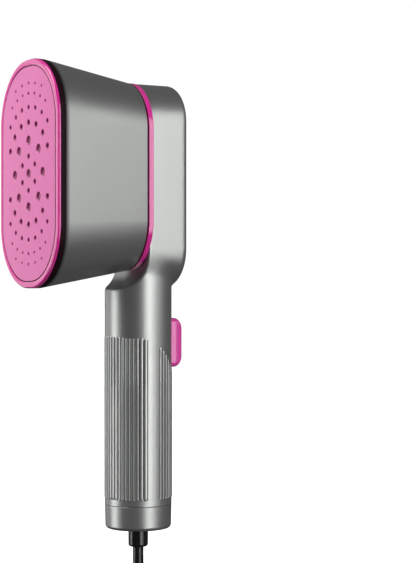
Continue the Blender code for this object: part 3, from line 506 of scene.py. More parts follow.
def plate_look(name, colour, face_y):
    """Satin fuchsia enamel, with painted shade that darkens the bottoms of the steam holes."""
    made = gloss_plastic(name, colour, 0.34, 0.2)
    tree = made.node_tree
    depth = fade_along_y(tree, face_y + 0.00012, face_y + 0.00075)
    centre = add_node(tree, "Mapping", {"Vector": own_space(tree), "Location": (0, 0, -AXIS_Z)})
    field = (1 / HOLE_FIELD_HALF_WIDTH, 0, 1 / HOLE_FIELD_HALF_LENGTH)
    flat = add_node(tree, "Mapping", {"Vector": centre.outputs[0], "Scale": field})
    reach = add_node(tree, "VectorMath", {0: flat.outputs[0]}, operation="LENGTH")
    within = add_node(tree, "Math", {0: reach.outputs["Value"], 1: 1.0}, operation="LESS_THAN")
    inside = add_node(tree, "Math", {0: depth, 1: within.outputs[0]}, operation="MULTIPLY")
    # painted shade: the deeper parts of each hole in the field turn to the dark hole colour
    mix_colour(tree, inside.outputs[0], None, HOLE_SHADE_COLOUR)
    return made


def board_look(name, colour):
    """Solder mask with rows of tinned pads."""
    made, tree = new_material(name, colour, 0.4)
    turned = add_node(tree, "Mapping", {"Vector": own_space(tree), "Rotation": (pi / 2, 0, 0)})
    bricks = add_node(tree, "TexBrick", {
        "Vector": turned.outputs[0], "Scale": 260, "Color1": (*colour, 1), "Color2": (*shade(colour, 1.5), 1),
        "Mortar": (0.55, 0.50, 0.30, 1), "Mortar Size": 0.03,
    })
    set_shader(tree, {"Base Color": bricks.outputs["Color"]})
    bump(tree, bricks.outputs["Fac"], 0.00005, 0.6)
    return made


def strap_look(name, colour):
    """Woven hook-and-loop strap."""
    made, tree = new_material(name, colour, 0.85)
    weave = add_node(tree, "TexWave", {"Vector": own_space(tree), "Scale": 900, "Distortion": 1.5})
    mix_colour(tree, weave.outputs["Fac"], shade(colour, 0.7), shade(colour, 2.4))
    bump(tree, weave.outputs["Fac"], 0.00015, 0.8)
    set_shader(tree, {"Sheen Weight": 0.3})
    return made


def slot_colour(name):
    for entry in frame["record"]["materials"]:
        if entry["slot"] == name:
            return tuple(entry["base_color"][:3])
    raise KeyError(name)


def make_looks():
    """Each slot's look, and the looks that single pieces have of their own."""
    looks = {name: grained(name, slot_colour(name), *grain) for name, grain in GRAINED_SLOTS.items()}
    looks.update({
        "satin_grey_shell": satin_paint("satin_grey", slot_colour("satin_grey_shell")),
        "fuchsia_trim": gloss_plastic("fuchsia_gloss", TRIM_COLOUR, 0.14, 1.0),
        "fuchsia_plate": plate_look("fuchsia_satin", PLATE_COLOUR, PLATE[0][1]),
        "fuchsia_button": gloss_plastic("fuchsia_button", BUTTON_COLOUR, 0.20, 0.9),
        # painted shade for the plate's groove and the ring's gap
        "fuchsia_groove_shade": gloss_plastic("fuchsia_groove_shade", GROOVE_SHADE_COLOUR, 0.4, 0.0),
        # painted shade along the head's front edge
        "painted_edge_shade": painted_edge_shade("satin_grey_edge_shade", slot_colour("satin_grey_shell"), HEAD[0][1]),
        "black_moulding": gloss_plastic("black_gloss", shade(slot_colour("black_moulding"), 0.5), 0.24, 0.1),
        "cord_jacket": grained("cord_jacket", shade(slot_colour("cord_jacket"), 0.4), 0.26, 1400, 0.00001),
        "black_seal": grained("black_seal", SEAL_COLOUR, 0.6, 1800, 0.00003, specular=0.12),
        "circuit_board": board_look("circuit_board", slot_colour("circuit_board")),
        "tank_plastic": gloss_plastic("tank_plastic", slot_colour("tank_plastic"), 0.2, 0.2),
    })
    return looks


def dress_cad_nodes(looks):
    """Every CAD node gets its slot's material, shown or hidden."""
    for entry in frame["record"]["subparts"]:
        node = frame["nodes"][entry["node"]]
        for place in node.material_slots:
            place.material = looks[entry["material_slot"]]


# ---- mesh helpers

def add_piece(name, data, looks, body, slot, *replaced, sharp=32):
    """Link a piece, give it its slot's look, parent it to its body's empty and hide the CAD nodes it stands
    for.

    Edges over the angle sharp, in degrees, stay crisp; None leaves the shading alone.
    """
    piece = linked(name, data)
    data.materials.clear()
    data.materials.append(looks[slot])
    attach(piece, body)
    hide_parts(*replaced)
    if sharp is not None:
        data.shade_smooth()
        data.set_sharp_from_angle(angle=radians(sharp))
        modifier = piece.modifiers.new("weighted_normal", "WEIGHTED_NORMAL")
        modifier.keep_sharp = True
        modifier.weight = 80
    return piece


def repaint(piece, look):
    """Give a piece a look of its own in place of its slot's."""
    piece.data.materials.clear()
    piece.data.materials.append(look)


def mesh_from(build):
    shape = bmesh.new()
    build(shape)
    bmesh.ops.recalc_face_normals(shape, faces=shape.faces)
    mesh = bpy.data.meshes.new("shape")
    shape.to_mesh(mesh)
    shape.free()
    return mesh


def loft(loops, closed=False):
    """A solid through loops of the same number of points: capped at both ends, or closed on itself."""
    def build(shape):
        rings = [[shape.verts.new(point) for point in loop] for loop in loops]
        count = len(rings[0])
        pairs = list(zip(rings, rings[1:]))
        if closed:
            pairs.append((rings[-1], rings[0]))
        for low, high in pairs:
            for i in range(count):
                j = (i + 1) % count
                shape.faces.new((low[i], low[j], high[j], high[i]))
        if not closed:
            shape.faces.new(rings[0])
            shape.faces.new(list(reversed(rings[-1])))
    return mesh_from(build)


def lathe(profile, segments=96, closed=False):
    """A turned solid about +Z through (radius, height) points."""
    def build(shape):
        rings = []
        for radius, height in profile:
            if radius == 0:
                rings.append([shape.verts.new((0, 0, height))] * segments)
                continue
            turn = [2 * pi * i / segments for i in range(segments)]
            rings.append([shape.verts.new((radius * cos(a), radius * sin(a), height)) for a in turn])
        pairs = list(zip(rings, rings[1:]))
        if closed:
            pairs.append((rings[-1], rings[0]))
        for low, high in pairs:
            for i in range(segments):
                j = (i + 1) % segments
                corners = []
                for vert in (low[i], low[j], high[j], high[i]):
                    if vert not in corners:
                        corners.append(vert)
                shape.faces.new(corners)
    return mesh_from(build)


def along_y(mesh, x=0.0, y=0.0, z=0.0):
    mesh.transform(Matrix.Translation((x, y, z)) @ Matrix.Rotation(-pi / 2, 4, "X"))
    return mesh


def rod_profile(radius, low, high):
    return [(0, low), (radius, low), (radius, high), (0, high)]


def stadium(half_length, half_width, corner_r, y, centre_z=AXIS_Z, steps=24):
    """A rounded rectangle in the plane y, long side up."""
    corner_r = min(corner_r, half_width - 1e-5, half_length - 1e-5)
    points = []
    for side_x, side_z, start in ((1, 1, 0), (-1, 1, 90), (-1, -1, 180), (1, -1, 270)):
        for i in range(steps + 1):
            angle = radians(start + 90 * i / steps)
            x = side_x * (half_width - corner_r) + corner_r * cos(angle)
            z = side_z * (half_length - corner_r) + corner_r * sin(angle)
            points.append((x, y, centre_z + z))
    return points


def inset_loops(half_length, half_width, corner_r, profile, centre_z=AXIS_Z, steps=24):
    """One loop for each (inset, y) of a profile, all of them parallel to one outline."""
    return [stadium(half_length - inset, half_width - inset, corner_r - inset, y, centre_z, steps)
            for inset, y in profile]


def arc(centre, radius, start, end, steps):
    """Points of an arc as pairs, angles in degrees."""
    turn = [radians(start + (end - start) * i / steps) for i in range(steps + 1)]
    return [(centre[0] + radius * cos(a), centre[1] + radius * sin(a)) for a in turn]


def joined(meshes):
    shape = bmesh.new()
    for mesh in meshes:
        shape.from_mesh(mesh)
    made = bpy.data.meshes.new("joined")
    shape.to_mesh(made)
    shape.free()
    return made


def cut(mesh, tools, operation="DIFFERENCE"):
    """The mesh after exact Booleans with each tool mesh."""
    holder = linked("holder", mesh)
    helpers = []
    for tool in tools:
        helpers.append(linked("helper", tool))
        modifier = holder.modifiers.new("cut", "BOOLEAN")
        modifier.object = helpers[-1]
        modifier.operation = operation
        modifier.solver = "EXACT"
    made = baked(holder)
    for helper in helpers:
        bpy.data.objects.remove(helper, do_unlink=True)
    return made


def tube_curve(name, points, radius, resolution):
    """A round tube along points, as a curve of one open spline."""
    curve = bpy.data.curves.new(name, "CURVE")
    curve.dimensions = "3D"
    curve.bevel_depth = radius
    curve.bevel_resolution = resolution
    curve.use_fill_caps = True
    spline = curve.splines.new("POLY")
    spline.points.add(len(points) - 1)
    for point, place in zip(spline.points, points):
        point.co = (*place, 1.0)
    spline.use_smooth = True
    return curve


def smooth_route(points, step):
    """Points a step apart on a smooth curve through the route's own points."""
    points = [Vector(point) for point in points]
    ends = [points[0] * 2 - points[1], *points, points[-1] * 2 - points[-2]]
    dense = []
    for before, start, end, after in zip(ends, ends[1:], ends[2:], ends[3:]):
        for i in range(24):
            t = i / 24
            bend = (before * 2 - start * 5 + end * 4 - after) * t * t
            turn = (start * 3 - before - end * 3 + after) * t ** 3
            dense.append((start * 2 + (end - before) * t + bend + turn) / 2)
    dense.append(points[-1])
    total = sum((b - a).length for a, b in zip(dense, dense[1:]))
    count = max(2, round(total / step))
    kept = [dense[0]]
    walked = 0.0
    for a, b in zip(dense, dense[1:]):
        walked += (b - a).length
        if walked >= len(kept) * total / count - 1e-9:
            kept.append(b)
    kept[-1] = dense[-1]
    return kept


# ---- cord

def coil_points(low_z):
    """The coil's turns from the top outer one to the bottom outer one: a flat spiral for each layer."""
    points = []
    steps = round(COIL_TURNS * COIL_STEPS_A_TURN)
    layer_turns = COIL_TURNS / COIL_LAYERS
    climb = LAYER_CLIMB / layer_turns
    for i in range(steps + 1):
        share = i / steps
        angle = COIL_START_ANGLE + share * COIL_TURNS * 2 * pi
        layer = share * COIL_LAYERS
        whole = min(int(layer), COIL_LAYERS - 1)
        inward = layer - whole
        if whole % 2:
            inward = 1 - inward
        radius = COIL_OUTER_TURN_R + (COIL_INNER_TURN_R - COIL_OUTER_TURN_R) * inward
        drop = 0.0
        for edge in range(1, COIL_LAYERS):
            t = min(1.0, max(0.0, (layer - edge) / climb + 0.5))
            drop += t * t * (3 - 2 * t)
        height = low_z + (COIL_LAYERS - 1 - drop) * 2 * CORD_R
        points.append(COIL_CENTRE + Vector((radius * cos(angle), radius * sin(angle), height)))
    return points


def add_cord(looks):
    """The whole cord: down from the handle, round the coil and on to the plug."""
    out = Vector((cos(LEAD_DIRECTION), sin(LEAD_DIRECTION), 0))
    low_z = COIL[0][2] + CORD_R
    lead = [out * reach + Vector((0, 0, z)) for reach, z in LEAD_ROUTE]
    tail = [Vector((x, y, low_z)) for x, y in TAIL_ROUTE]
    route = smooth_route([*lead, *coil_points(low_z), *tail], ROUTE_STEP)
    curve = tube_curve("mains_cord", route, CORD_R, 4)
    nodes = ("cord_lead", "cord_coil", "cord_tail")
    return add_piece("mains_cord", curve, looks, "handle", "cord_jacket", *nodes, sharp=None)


def add_tie(looks):
    """A woven strap round the coil, with rounded corners."""
    inner = COIL_INNER_TURN_R - CORD_R - STRAP_INNER_GAP
    outer = COIL_OUTER_TURN_R + CORD_R + STRAP_OUTER_GAP
    middle = -(inner + outer) / 2
    half_across = (outer - inner) / 2
    half_up = (TIE[1][2] - TIE[0][2]) / 2 - STRAP_THICK
    centre_z = (TIE[1][2] + TIE[0][2]) / 2
    loops = []
    for grow, side in ((0, -1), (STRAP_THICK, -1), (STRAP_THICK, 1), (0, 1)):
        outline = stadium(half_up + grow, half_across + grow, STRAP_CORNER_R + grow, 0, centre_z, 6)
        loops.append([(x + middle, side * STRAP_WIDTH / 2, z) for x, _, z in outline])
    mesh = loft(loops, closed=True)
    mesh.transform(Matrix.Translation(COIL_CENTRE) @ Matrix.Rotation(STRAP_PLACE, 4, "Z"))
    strap = add_piece("coil_strap", mesh, looks, "handle", "black_moulding", "cord_tie")
    repaint(strap, strap_look("woven_strap", STRAP_COLOUR))
    return strap


# ---- handle and back housing

def rib_top(angle):
    """Height of the ribs' upper ends at an angle from the front: high in front, lower at the back."""
    angles, heights = zip(*RIB_TOPS)
    return float(np.interp(abs(angle) * 180 / pi, angles, heights))


def rib_relief(angle, z):
    """How far the grip's surface stands off the plain handle at an angle from the front and a height."""
    wrapped = (angle + pi) % (2 * pi) - pi
    if abs(abs(wrapped) - pi / 2) < SMOOTH_STRIP:
        return 0.0
    pitch = 2 * pi / RIB_COUNT
    number = round(wrapped / pitch)
    across = abs(wrapped - number * pitch) / (pitch / 2)
    top = rib_top(number * pitch) - RIB_TOP_SAG * across ** 2
    bottom = RIB_BOTTOM_Z + RIB_BOTTOM_LIFT * across ** 2
    t = min(1.0, max(0.0, (top - z) / RIB_FADE)) * min(1.0, max(0.0, (z - bottom) / RIB_FADE))
    shape = RIB_CREST - (RIB_CREST + RIB_VALLEY) * across ** RIB_SQUARENESS
    return shape * t * t * (3 - 2 * t)


def spaced(low, high, step):
    """Heights from low to under high, a step apart."""
    heights = []
    while low < high:
        heights.append(low)
        low += step
    return heights


def grip_rows():
    """Heights of the grip's rows of points, close together where the ribs begin and end."""
    rows = [SEAM_Z, SEAM_Z + ROW_STEP]
    rows += spaced(RIB_BOTTOM_Z - ROW_STEP, RIB_BOTTOM_Z + ROWS_PAST_BOTTOM, FINE_ROW_STEP)
    rows += MIDDLE_ROWS
    rows += spaced(RIB_TOPS[-1][1] - ROWS_BELOW_TOP, RIB_TOPS[0][1] + ROWS_PAST_TOP, ROW_STEP)
    rows.append(GRIP_TOP_Z)
    return rows


def grip_solid():
    """The handle below the neck, with its ribs as real relief."""
    pitch = 2 * pi / RIB_COUNT
    angles = [pitch * (number + share) for number in range(RIB_COUNT) for share in RIB_COLUMNS]
    loops = []
    for row in grip_rows():
        reach = [HANDLE_R + rib_relief(angle, row) for angle in angles]
        loops.append([(r * sin(angle), -r * cos(angle), row) for r, angle in zip(reach, angles)])
    return loft(loops)


def slab_distance(points):
    """Distance to the back housing: a stadium extruded along Y, with its back edge rounded."""
    x, y, z = points.T
    flat = np.hypot(x, z - np.clip(z, SLAB_LOWER_Z, SLAB_UPPER_Z)) - SLAB_R
    return round_overlap(flat, y - SLAB_BACK_Y, SLAB_BACK_FILLET)


def round_union(first, second, radius):
    """Two distances joined, with a fillet in the corner between them."""
    joint = np.hypot(np.maximum(radius - first, 0), np.maximum(radius - second, 0))
    return np.maximum(radius, np.minimum(first, second)) - joint


def round_overlap(first, second, radius):
    """What two distances share, with its edge rounded."""
    return -round_union(-first, -second, radius)


def scoop_distance(y, z):
    """Distance to the front: a sloping shelf that turns up into the housing's face through a fillet."""
    shelf = (z - SHELF_POINT[1]) * cos(SHELF_SLOPE) - (y - SHELF_POINT[0]) * sin(SHELF_SLOPE)
    return round_union(shelf, SLAB_FRONT_Y - y, SCOOP_FILLET)


def scoop_solid():
    """The space in front of the neck and housing, its side along the scoop's own curve."""
    front_y, top_z, half_width = -0.070, 0.240, 0.04
    curve_low_z, curve_high_z, straight_z = SHELF_POINT[1] - 0.012, 0.092, 0.096
    heights = np.concatenate([np.arange(curve_low_z, curve_high_z, 0.0004), [straight_z, top_z]])
    near, far = np.full(len(heights), -0.060), np.full(len(heights), SLAB_FRONT_Y + 0.001)
    for _ in range(40):
        middle = (near + far) / 2
        outside = scoop_distance(middle, heights) > 0
        near, far = np.where(outside, middle, near), np.where(outside, far, middle)
    profile = [*zip(near, heights), (front_y, top_z), (front_y, heights[0])]
    return loft([[(x, y, z) for y, z in profile] for x in (-half_width, half_width)])


def upper_distance(points):
    """Neck and back housing together, cut in front by one smooth scoop."""
    x, y, z = points.T
    column = np.maximum(np.hypot(x, y) - HANDLE_R, z - SLAB_LOWER_Z)
    fillet = np.interp(y, (NECK_FRONT_Y, NECK_BACK_Y), (NECK_FILLET, NECK_BACK_FILLET))
    body = round_union(column, slab_distance(points), fillet)
    scooped = round_overlap(body, scoop_distance(y, z), SLAB_FRONT_FILLET)
    return np.maximum(scooped, (GRIP_TOP_Z - LAP) - z)


def settle(points, distance, rounds=8):
    """Move points onto the zero surface of a distance function."""
    step = 1e-5
    for _ in range(rounds):
        here = distance(points)
        slope = np.stack([(distance(points + offset) - distance(points - offset)) / (2 * step)
                          for offset in np.eye(3) * step], axis=1)
        size = np.maximum((slope ** 2).sum(axis=1), 0.05)
        points = points - slope * (here / size)[:, None]
    return points


def upper_solid(voxel=0.0007):
    """The neck and back housing as one smooth skin."""
    column = lathe(rod_profile(HANDLE_R, GRIP_TOP_Z - LAP, SLAB_LOWER_Z), 96)
    middle = (SLAB_UPPER_Z + SLAB_LOWER_Z) / 2
    half = (SLAB_UPPER_Z - SLAB_LOWER_Z) / 2 + SLAB_R
    slab = loft([stadium(half, SLAB_R, SLAB_R, y, middle) for y in (SLAB_START_Y, SLAB_BACK_Y)])
    rough = cut(cut(column, [slab], "UNION"), [scoop_solid()])
    holder = linked("holder", rough)
    modifier = holder.modifiers.new("remesh", "REMESH")
    modifier.mode = "VOXEL"
    modifier.voxel_size = voxel
    mesh = baked(holder)
    places = np.empty(len(mesh.vertices) * 3)
    mesh.vertices.foreach_get("co", places)
    places = places.reshape(-1, 3)
    ends = np.empty(len(mesh.edges) * 2, dtype=int)
    mesh.edges.foreach_get("vertices", ends)
    first, second = ends.reshape(-1, 2).T
    links = np.bincount(ends, minlength=len(places))[:, None]
    for _ in range(4):
        places = settle(places, upper_distance, 4)
        around = np.zeros_like(places)
        np.add.at(around, first, places[second])
        np.add.at(around, second, places[first])
        places = (places + around / links) / 2
    places = settle(places, upper_distance)
    mesh.vertices.foreach_set("co", places.ravel())
    mesh.update()
    return mesh


def button_prism(grow, front_y, back_y, steps=10):
    middle = (BUTTON_LOW_Z + BUTTON_HIGH_Z) / 2
    half = (BUTTON_HIGH_Z - BUTTON_LOW_Z) / 2 + grow
    shape = (half, BUTTON_HALF_WIDTH + grow, BUTTON_CORNER_R + grow)
    return loft([stadium(*shape, y, middle, steps) for y in (front_y, back_y)])


def housing_hollow():
    """The hollow of the back housing, open at the front."""
    width = SLAB_R - SLAB_WALL
    middle = (SLAB_UPPER_Z + COVER_LOW_Z) / 2
    half = (SLAB_UPPER_Z - COVER_LOW_Z) / 2 + width
    reach = (SLAB_FRONT_Y - 0.01, SLAB_BACK_Y - SLAB_WALL)
    return loft([stadium(half, width, width, y, middle) for y in reach])


def grip_hollow():
    """The bore of the handle, open at the bottom and narrower in the neck."""
    bore = HANDLE_R - HANDLE_WALL
    bore_top_z, neck_top_z, neck_r = 0.0640, 0.0770, 0.012
    below = SEAM_Z - 0.01
    return lathe([(0, below), (bore, below), (bore, bore_top_z), (neck_r, neck_top_z), (0, neck_top_z)], 96)


def add_handle(looks):
    """The casing: the ribbed grip and the upper skin joined, then hollowed out."""
    side = 0.05
    square = ((-side, -side), (side, -side), (side, side), (-side, side))
    below = loft([[(x, y, z) for x, y in square] for z in (GRIP_TOP_Z - 0.02, GRIP_TOP_Z)])
    upper = cut(upper_solid(), [below])
    mesh = cut(grip_solid(), [upper], "UNION")
    mesh = cut(mesh, [grip_hollow(), housing_hollow(), button_prism(BUTTON_GAP, 0.010, 0.030)])
    add_piece("casing", mesh, looks, "handle", "satin_grey_shell", "handle_shell", sharp=38)


def add_front_cover(looks):
    """The flat cover of the back housing, with a fine rounded edge and the bush's hole."""
    inset = SLAB_WALL + COVER_GAP
    width = SLAB_R - inset
    middle = (SLAB_UPPER_Z + COVER_LOW_Z) / 2
    half = (SLAB_UPPER_Z - COVER_LOW_Z) / 2 + width
    front, back = COVER[0][1], COVER[1][1]
    edge = [(0.0, back)]
    edge += [(COVER_EDGE - x, y) for x, y in arc((0, front + COVER_EDGE), COVER_EDGE, 0, -90, 4)]
    mesh = loft(inset_loops(half, width, width, edge, middle))
    low, high = -0.01, 0.01
    holes = [along_y(lathe(rod_profile(BUSH_HOLE_R, low, high), 64), 0, 0, AXIS_Z)]
    holes.append(along_y(lathe(rod_profile(DETENT_HOLE_R, low, high), 24), 0, 0, AXIS_Z + DETENT_RISE))
    screw = [(0, low), (SCREW_HEAD_R, low), (SCREW_HEAD_R, SCREW_SEAT_Y), (SCREW_SHANK_R, SCREW_SEAT_Y),
             (SCREW_SHANK_R, 0.001), (0, 0.001)]
    for x in (-SCREW_X, SCREW_X):
        for z in (-SCREW_RISE, SCREW_RISE):
            holes.append(along_y(lathe(screw, 24), x, 0, AXIS_Z + z))
    mesh = cut(mesh, [joined(holes)])
    add_piece("housing_cover", mesh, looks, "handle", "satin_grey_shell", "front_plate")


def add_end_cap(looks):
    """Turned cap with a rounded bottom edge, a rounded cord hole and a collar inside the handle."""
    bottom, top = CAP[0][2], CAP[1][2]
    seam = SEAM_Z - CAP_GAP
    side_r = HANDLE_R - CAP_GAP
    collar = HANDLE_R - HANDLE_WALL - CAP_GAP
    inner = collar - CAP_WALL
    profile = arc((CAP_HOLE_R + CAP_HOLE_ROUND, bottom + CAP_HOLE_ROUND), CAP_HOLE_ROUND, 180, 270, 4)
    profile += arc((side_r - CAP_EDGE_ROUND, bottom + CAP_EDGE_ROUND), CAP_EDGE_ROUND, -90, -4, 12)
    profile += arc((side_r, seam - CAP_SEAM_ROUND), CAP_SEAM_ROUND, 0, 90, 4)
    profile += [(collar, seam), (collar, top), (inner, top), (inner, bottom + CAP_FLOOR),
                (CAP_HOLE_R, bottom + CAP_FLOOR)]
    mesh = lathe(profile, 128, closed=True)
    add_piece("bottom_cap", mesh, looks, "handle", "satin_grey_shell", "end_cap")


def add_strain_relief(looks):
    """Glossy tapered sleeve with a rounded tip."""
    tip, top = RELIEF[0][2], RELIEF[1][2]
    cap_bottom = CAP[0][2]
    flange = cap_bottom + SLEEVE_FLANGE_RISE
    flange_top = flange + SLEEVE_FLANGE_THICK
    mouth = tip + SLEEVE_MOUTH_EDGE
    tail_r = SLEEVE_R - 0.0005
    profile = [(0, mouth), (SLEEVE_MOUTH_R - SLEEVE_MOUTH_EDGE, mouth), (SLEEVE_MOUTH_R, tip)]
    profile += arc((SLEEVE_TIP_R - SLEEVE_TIP_ROUND, tip + SLEEVE_TIP_ROUND), SLEEVE_TIP_ROUND, -90, 0, 10)
    profile += [(SLEEVE_R - 0.0001, cap_bottom - 0.0010), (SLEEVE_R, cap_bottom), (SLEEVE_R, flange),
                (SLEEVE_FLANGE_R, flange), (SLEEVE_FLANGE_R, flange_top), (tail_r, flange_top), (tail_r, top),
                (0, top)]
    add_piece("cord_sleeve", lathe(profile, 64), looks, "handle", "black_moulding", "strain_relief")


def add_button(looks):
    """Crowned push button: full rounds at its top and bottom, smaller ones at its sides."""
    flange_y, face_y = BUTTON[0][1], BUTTON[1][1]
    middle = (BUTTON_LOW_Z + BUTTON_HIGH_Z) / 2
    half = (BUTTON_HIGH_Z - BUTTON_LOW_Z) / 2
    loops = [stadium(half, BUTTON_HALF_WIDTH, BUTTON_CORNER_R, flange_y, middle, 12)]
    for i in range(17):
        turn = pi / 2 * i / 16
        y = face_y - BUTTON_END_ROUND * (1 - sin(turn))
        inset_z = BUTTON_END_ROUND * (1 - cos(turn))
        inset_x = BUTTON_SIDE_ROUND * (1 - cos(turn))
        corner = BUTTON_CORNER_R - 0.5 * inset_x
        loops.append(stadium(half - inset_z, BUTTON_HALF_WIDTH - inset_x, corner, y, middle, 12))
    mesh = loft(loops)
    outline = (half + BUTTON_FLANGE_MARGIN, BUTTON_FLANGE_HALF_WIDTH, BUTTON_FLANGE_CORNER_R)
    flange = loft([stadium(*outline, y, middle, 6) for y in (flange_y, flange_y + BUTTON_FLANGE_THICK)])
    mesh = cut(mesh, [flange], "UNION")
    button = add_piece("push_button", mesh, looks, "button", "fuchsia_trim", "steam_button")
    repaint(button, looks["fuchsia_button"])


def add_return_spring(looks):
    """Coil spring behind the button."""
    low, high = SPRING[0][1] + SPRING_WIRE_R, SPRING[1][1] - SPRING_WIRE_R
    turn_r = (SPRING[1][0] - SPRING[0][0]) / 2 - SPRING_WIRE_R
    centre_z = (SPRING[0][2] + SPRING[1][2]) / 2
    steps = SPRING_TURNS * 24
    flat_turns = 0.7
    points = []
    for i in range(steps + 1):
        share = i / steps
        rise = (share * SPRING_TURNS - flat_turns) / (SPRING_TURNS - 2 * flat_turns)
        rise = min(1.0, max(0.0, rise))
        angle = 2 * pi * share * SPRING_TURNS
        points.append((turn_r * cos(angle), low + (high - low) * rise, centre_z + turn_r * sin(angle)))
    mesh = baked(linked("holder", tube_curve("return_spring", points, SPRING_WIRE_R, 3)))
    spring = add_piece("return_spring", mesh, looks, "handle", "steel", "button_spring", sharp=None)
    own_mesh(spring)


# ---- steam head

def steam_hole_places():
    places = []
    for ring_r, hole_r, angles in STEAM_HOLES:
        for end in (0,) if ring_r < WHOLE_RING_R else (0, 180):
            for angle in angles:
                turn = radians(angle + end)
                places.append((ring_r * sin(turn), AXIS_Z + ring_r * cos(turn), hole_r))
    return places


def dimple(x, z, hole_r, face_y):
    """A cutter for one steam hole: a soft lip, a shallow bowl and the jet at its middle."""
    lip = min(0.00030, hole_r * 0.2)
    depth = min(0.0015, hole_r * 0.75)
    bowl_r = hole_r - lip
    jet_r = max(0.00035, hole_r * 0.20)
    outer, above, past = hole_r + 0.0010, -0.0012, 0.0040
    profile = [(0, above), (outer, above), (outer, above / 2), (hole_r + 0.00015, -0.00002),
               (hole_r - lip * 0.5, 0.00012), (bowl_r, HOLE_LIP_DEPTH)]
    for i in range(1, 8):
        across = 1 - i / 8
        if bowl_r * across <= jet_r:
            break
        profile.append((bowl_r * across, HOLE_LIP_DEPTH + (depth - HOLE_LIP_DEPTH) * (1 - across ** 3)))
    profile += [(jet_r, depth), (jet_r, past), (0, past)]
    return along_y(lathe(profile, 28), x, face_y, z)


def plate_inset(point):
    """How far inside the plate's outline a point lies."""
    x = abs(point[0]) - (PLATE_HALF_WIDTH - PLATE_CORNER_R)
    z = abs(point[2] - AXIS_Z) - (PLATE_HALF_LENGTH - PLATE_CORNER_R)
    if x > 0 and z > 0:
        return PLATE_CORNER_R - (x * x + z * z) ** 0.5
    return PLATE_CORNER_R - max(x, z)


def add_plate(looks):
    """Face plate: rounded rim, a fine groove inside it, and rings of dimpled steam holes."""
    front, back = PLATE[0][1], PLATE[1][1]
    groove_floor = front + 0.0007
    profile = [(0.0006, back), (0.0, back - 0.0003), (0.0, front + PLATE_EDGE)]
    profile += [(PLATE_EDGE - x, y) for x, y in arc((0, front + PLATE_EDGE), PLATE_EDGE, 0, -90, 12)][1:]
    profile += [(GROOVE_INSET - 0.0007, front), (GROOVE_INSET - GROOVE_HALF_WIDTH, front + 0.00015),
                (GROOVE_INSET - GROOVE_HALF_WIDTH / 2, groove_floor),
                (GROOVE_INSET + GROOVE_HALF_WIDTH / 2, groove_floor),
                (GROOVE_INSET + GROOVE_HALF_WIDTH, front + 0.00025), (GROOVE_INSET + 0.0005, front)]
    mesh = loft(inset_loops(PLATE_HALF_LENGTH, PLATE_HALF_WIDTH, PLATE_CORNER_R, profile, steps=36))
    mesh = cut(mesh, [joined([dimple(x, z, r, front) for x, z, r in steam_hole_places()])])
    add_piece("face_plate", mesh, looks, "head", "fuchsia_plate", "steam_plate", sharp=40)
    mesh.materials.append(looks["fuchsia_trim"])
    mesh.materials.append(looks["fuchsia_groove_shade"])
    face_slot, rim_slot, groove_slot = 0, 1, 2
    # faces in the groove get the dark colour: painted shade
    for face in mesh.polygons:
        inward = plate_inset(face.center) - GROOVE_INSET
        if abs(inward) < GROOVE_HALF_WIDTH:
            face.material_index = groove_slot
        else:
            face.material_index = rim_slot if inward < 0 else face_slot


def add_gasket(looks):
    """Black seal, very slightly proud at its middle."""
    gap, bulge, round_y = 0.00005, 0.0001, 0.0003
    front, back = PLATE[1][1] + gap, HEAD[0][1] - gap
    profile = [(round_y, front), (bulge, front + round_y), (0.0, (front + back) / 2), (bulge, back - round_y),
               (round_y, back), (SEAL_WIDTH, back), (SEAL_WIDTH, front)]
    loops = inset_loops(PLATE_HALF_LENGTH, PLATE_HALF_WIDTH, PLATE_CORNER_R, profile, steps=36)
    mesh = loft(loops, closed=True)
    add_piece("plate_seal", mesh, looks, "head", "black_seal", "head_gasket")


def shell_loop(y, inset, steps=36):
    """The head shell's outline at y."""
    front, back = HEAD[0][1], HEAD[1][1]
    share = (y - front) / (back - front)
    length = PLATE_HALF_LENGTH + (RING_HALF_LENGTH - PLATE_HALF_LENGTH) * share - inset
    width = PLATE_HALF_WIDTH + (RING_HALF_WIDTH - PLATE_HALF_WIDTH) * share - inset
    corner = PLATE_CORNER_R + (RING_HALF_WIDTH - PLATE_CORNER_R) * share - inset
    return stadium(length, width, corner, y, AXIS_Z, steps)


def at_filler(mesh):
    """A mesh made about +Z, placed on the filler's axis, which stands square to the shell's -X side."""
    front, back = HEAD[0][1], HEAD[1][1]
    lean = atan2(PLATE_HALF_WIDTH - RING_HALF_WIDTH, back - front)
    share = (FILLER_Y - front) / (back - front)
    surface_x = -(PLATE_HALF_WIDTH + (RING_HALF_WIDTH - PLATE_HALF_WIDTH) * share)
    outward = Vector((-cos(lean), sin(lean), 0))
    turn = Vector((0, 0, 1)).rotation_difference(outward).to_matrix().to_4x4()
    mesh.transform(Matrix.Translation((surface_x, FILLER_Y, AXIS_Z + FILLER_RISE)) @ turn)
    return mesh


def add_head_shell(looks):
    """Tapered cover with fine rounded edges at both ends."""
    front, back = HEAD[0][1], HEAD[1][1]
    corner = 0.3 * FINE_EDGE
    loops = [shell_loop(front, SHELL_WALL), shell_loop(front, FINE_EDGE), shell_loop(front + corner, corner),
             shell_loop(front + FINE_EDGE, 0.0)]
    loops += [shell_loop(front + (back - front) * share, 0.0) for share in (0.25, 0.5, 0.75)]
    loops += [shell_loop(back - FINE_EDGE, 0.0), shell_loop(back - corner, corner)]
    loops.append(shell_loop(back, FINE_EDGE))
    outer = loft(loops)
    inner = loft([shell_loop(front - 0.005, SHELL_WALL), shell_loop(back - SHELL_WALL, SHELL_WALL)])
    hole = along_y(lathe(rod_profile(SPIGOT_HOLE_R, -0.02, 0.0), 64), 0, 0, AXIS_Z)
    filler = at_filler(lathe(rod_profile(FILLER_SEAT_R, -0.0040, 0.0040), 64))
    mesh = cut(outer, [inner, hole, filler])
    shell = add_piece("head_cover", mesh, looks, "head", "satin_grey_shell", "head_shell")
    # the head shell's front edge carries painted shade
    repaint(shell, looks["painted_edge_shade"])


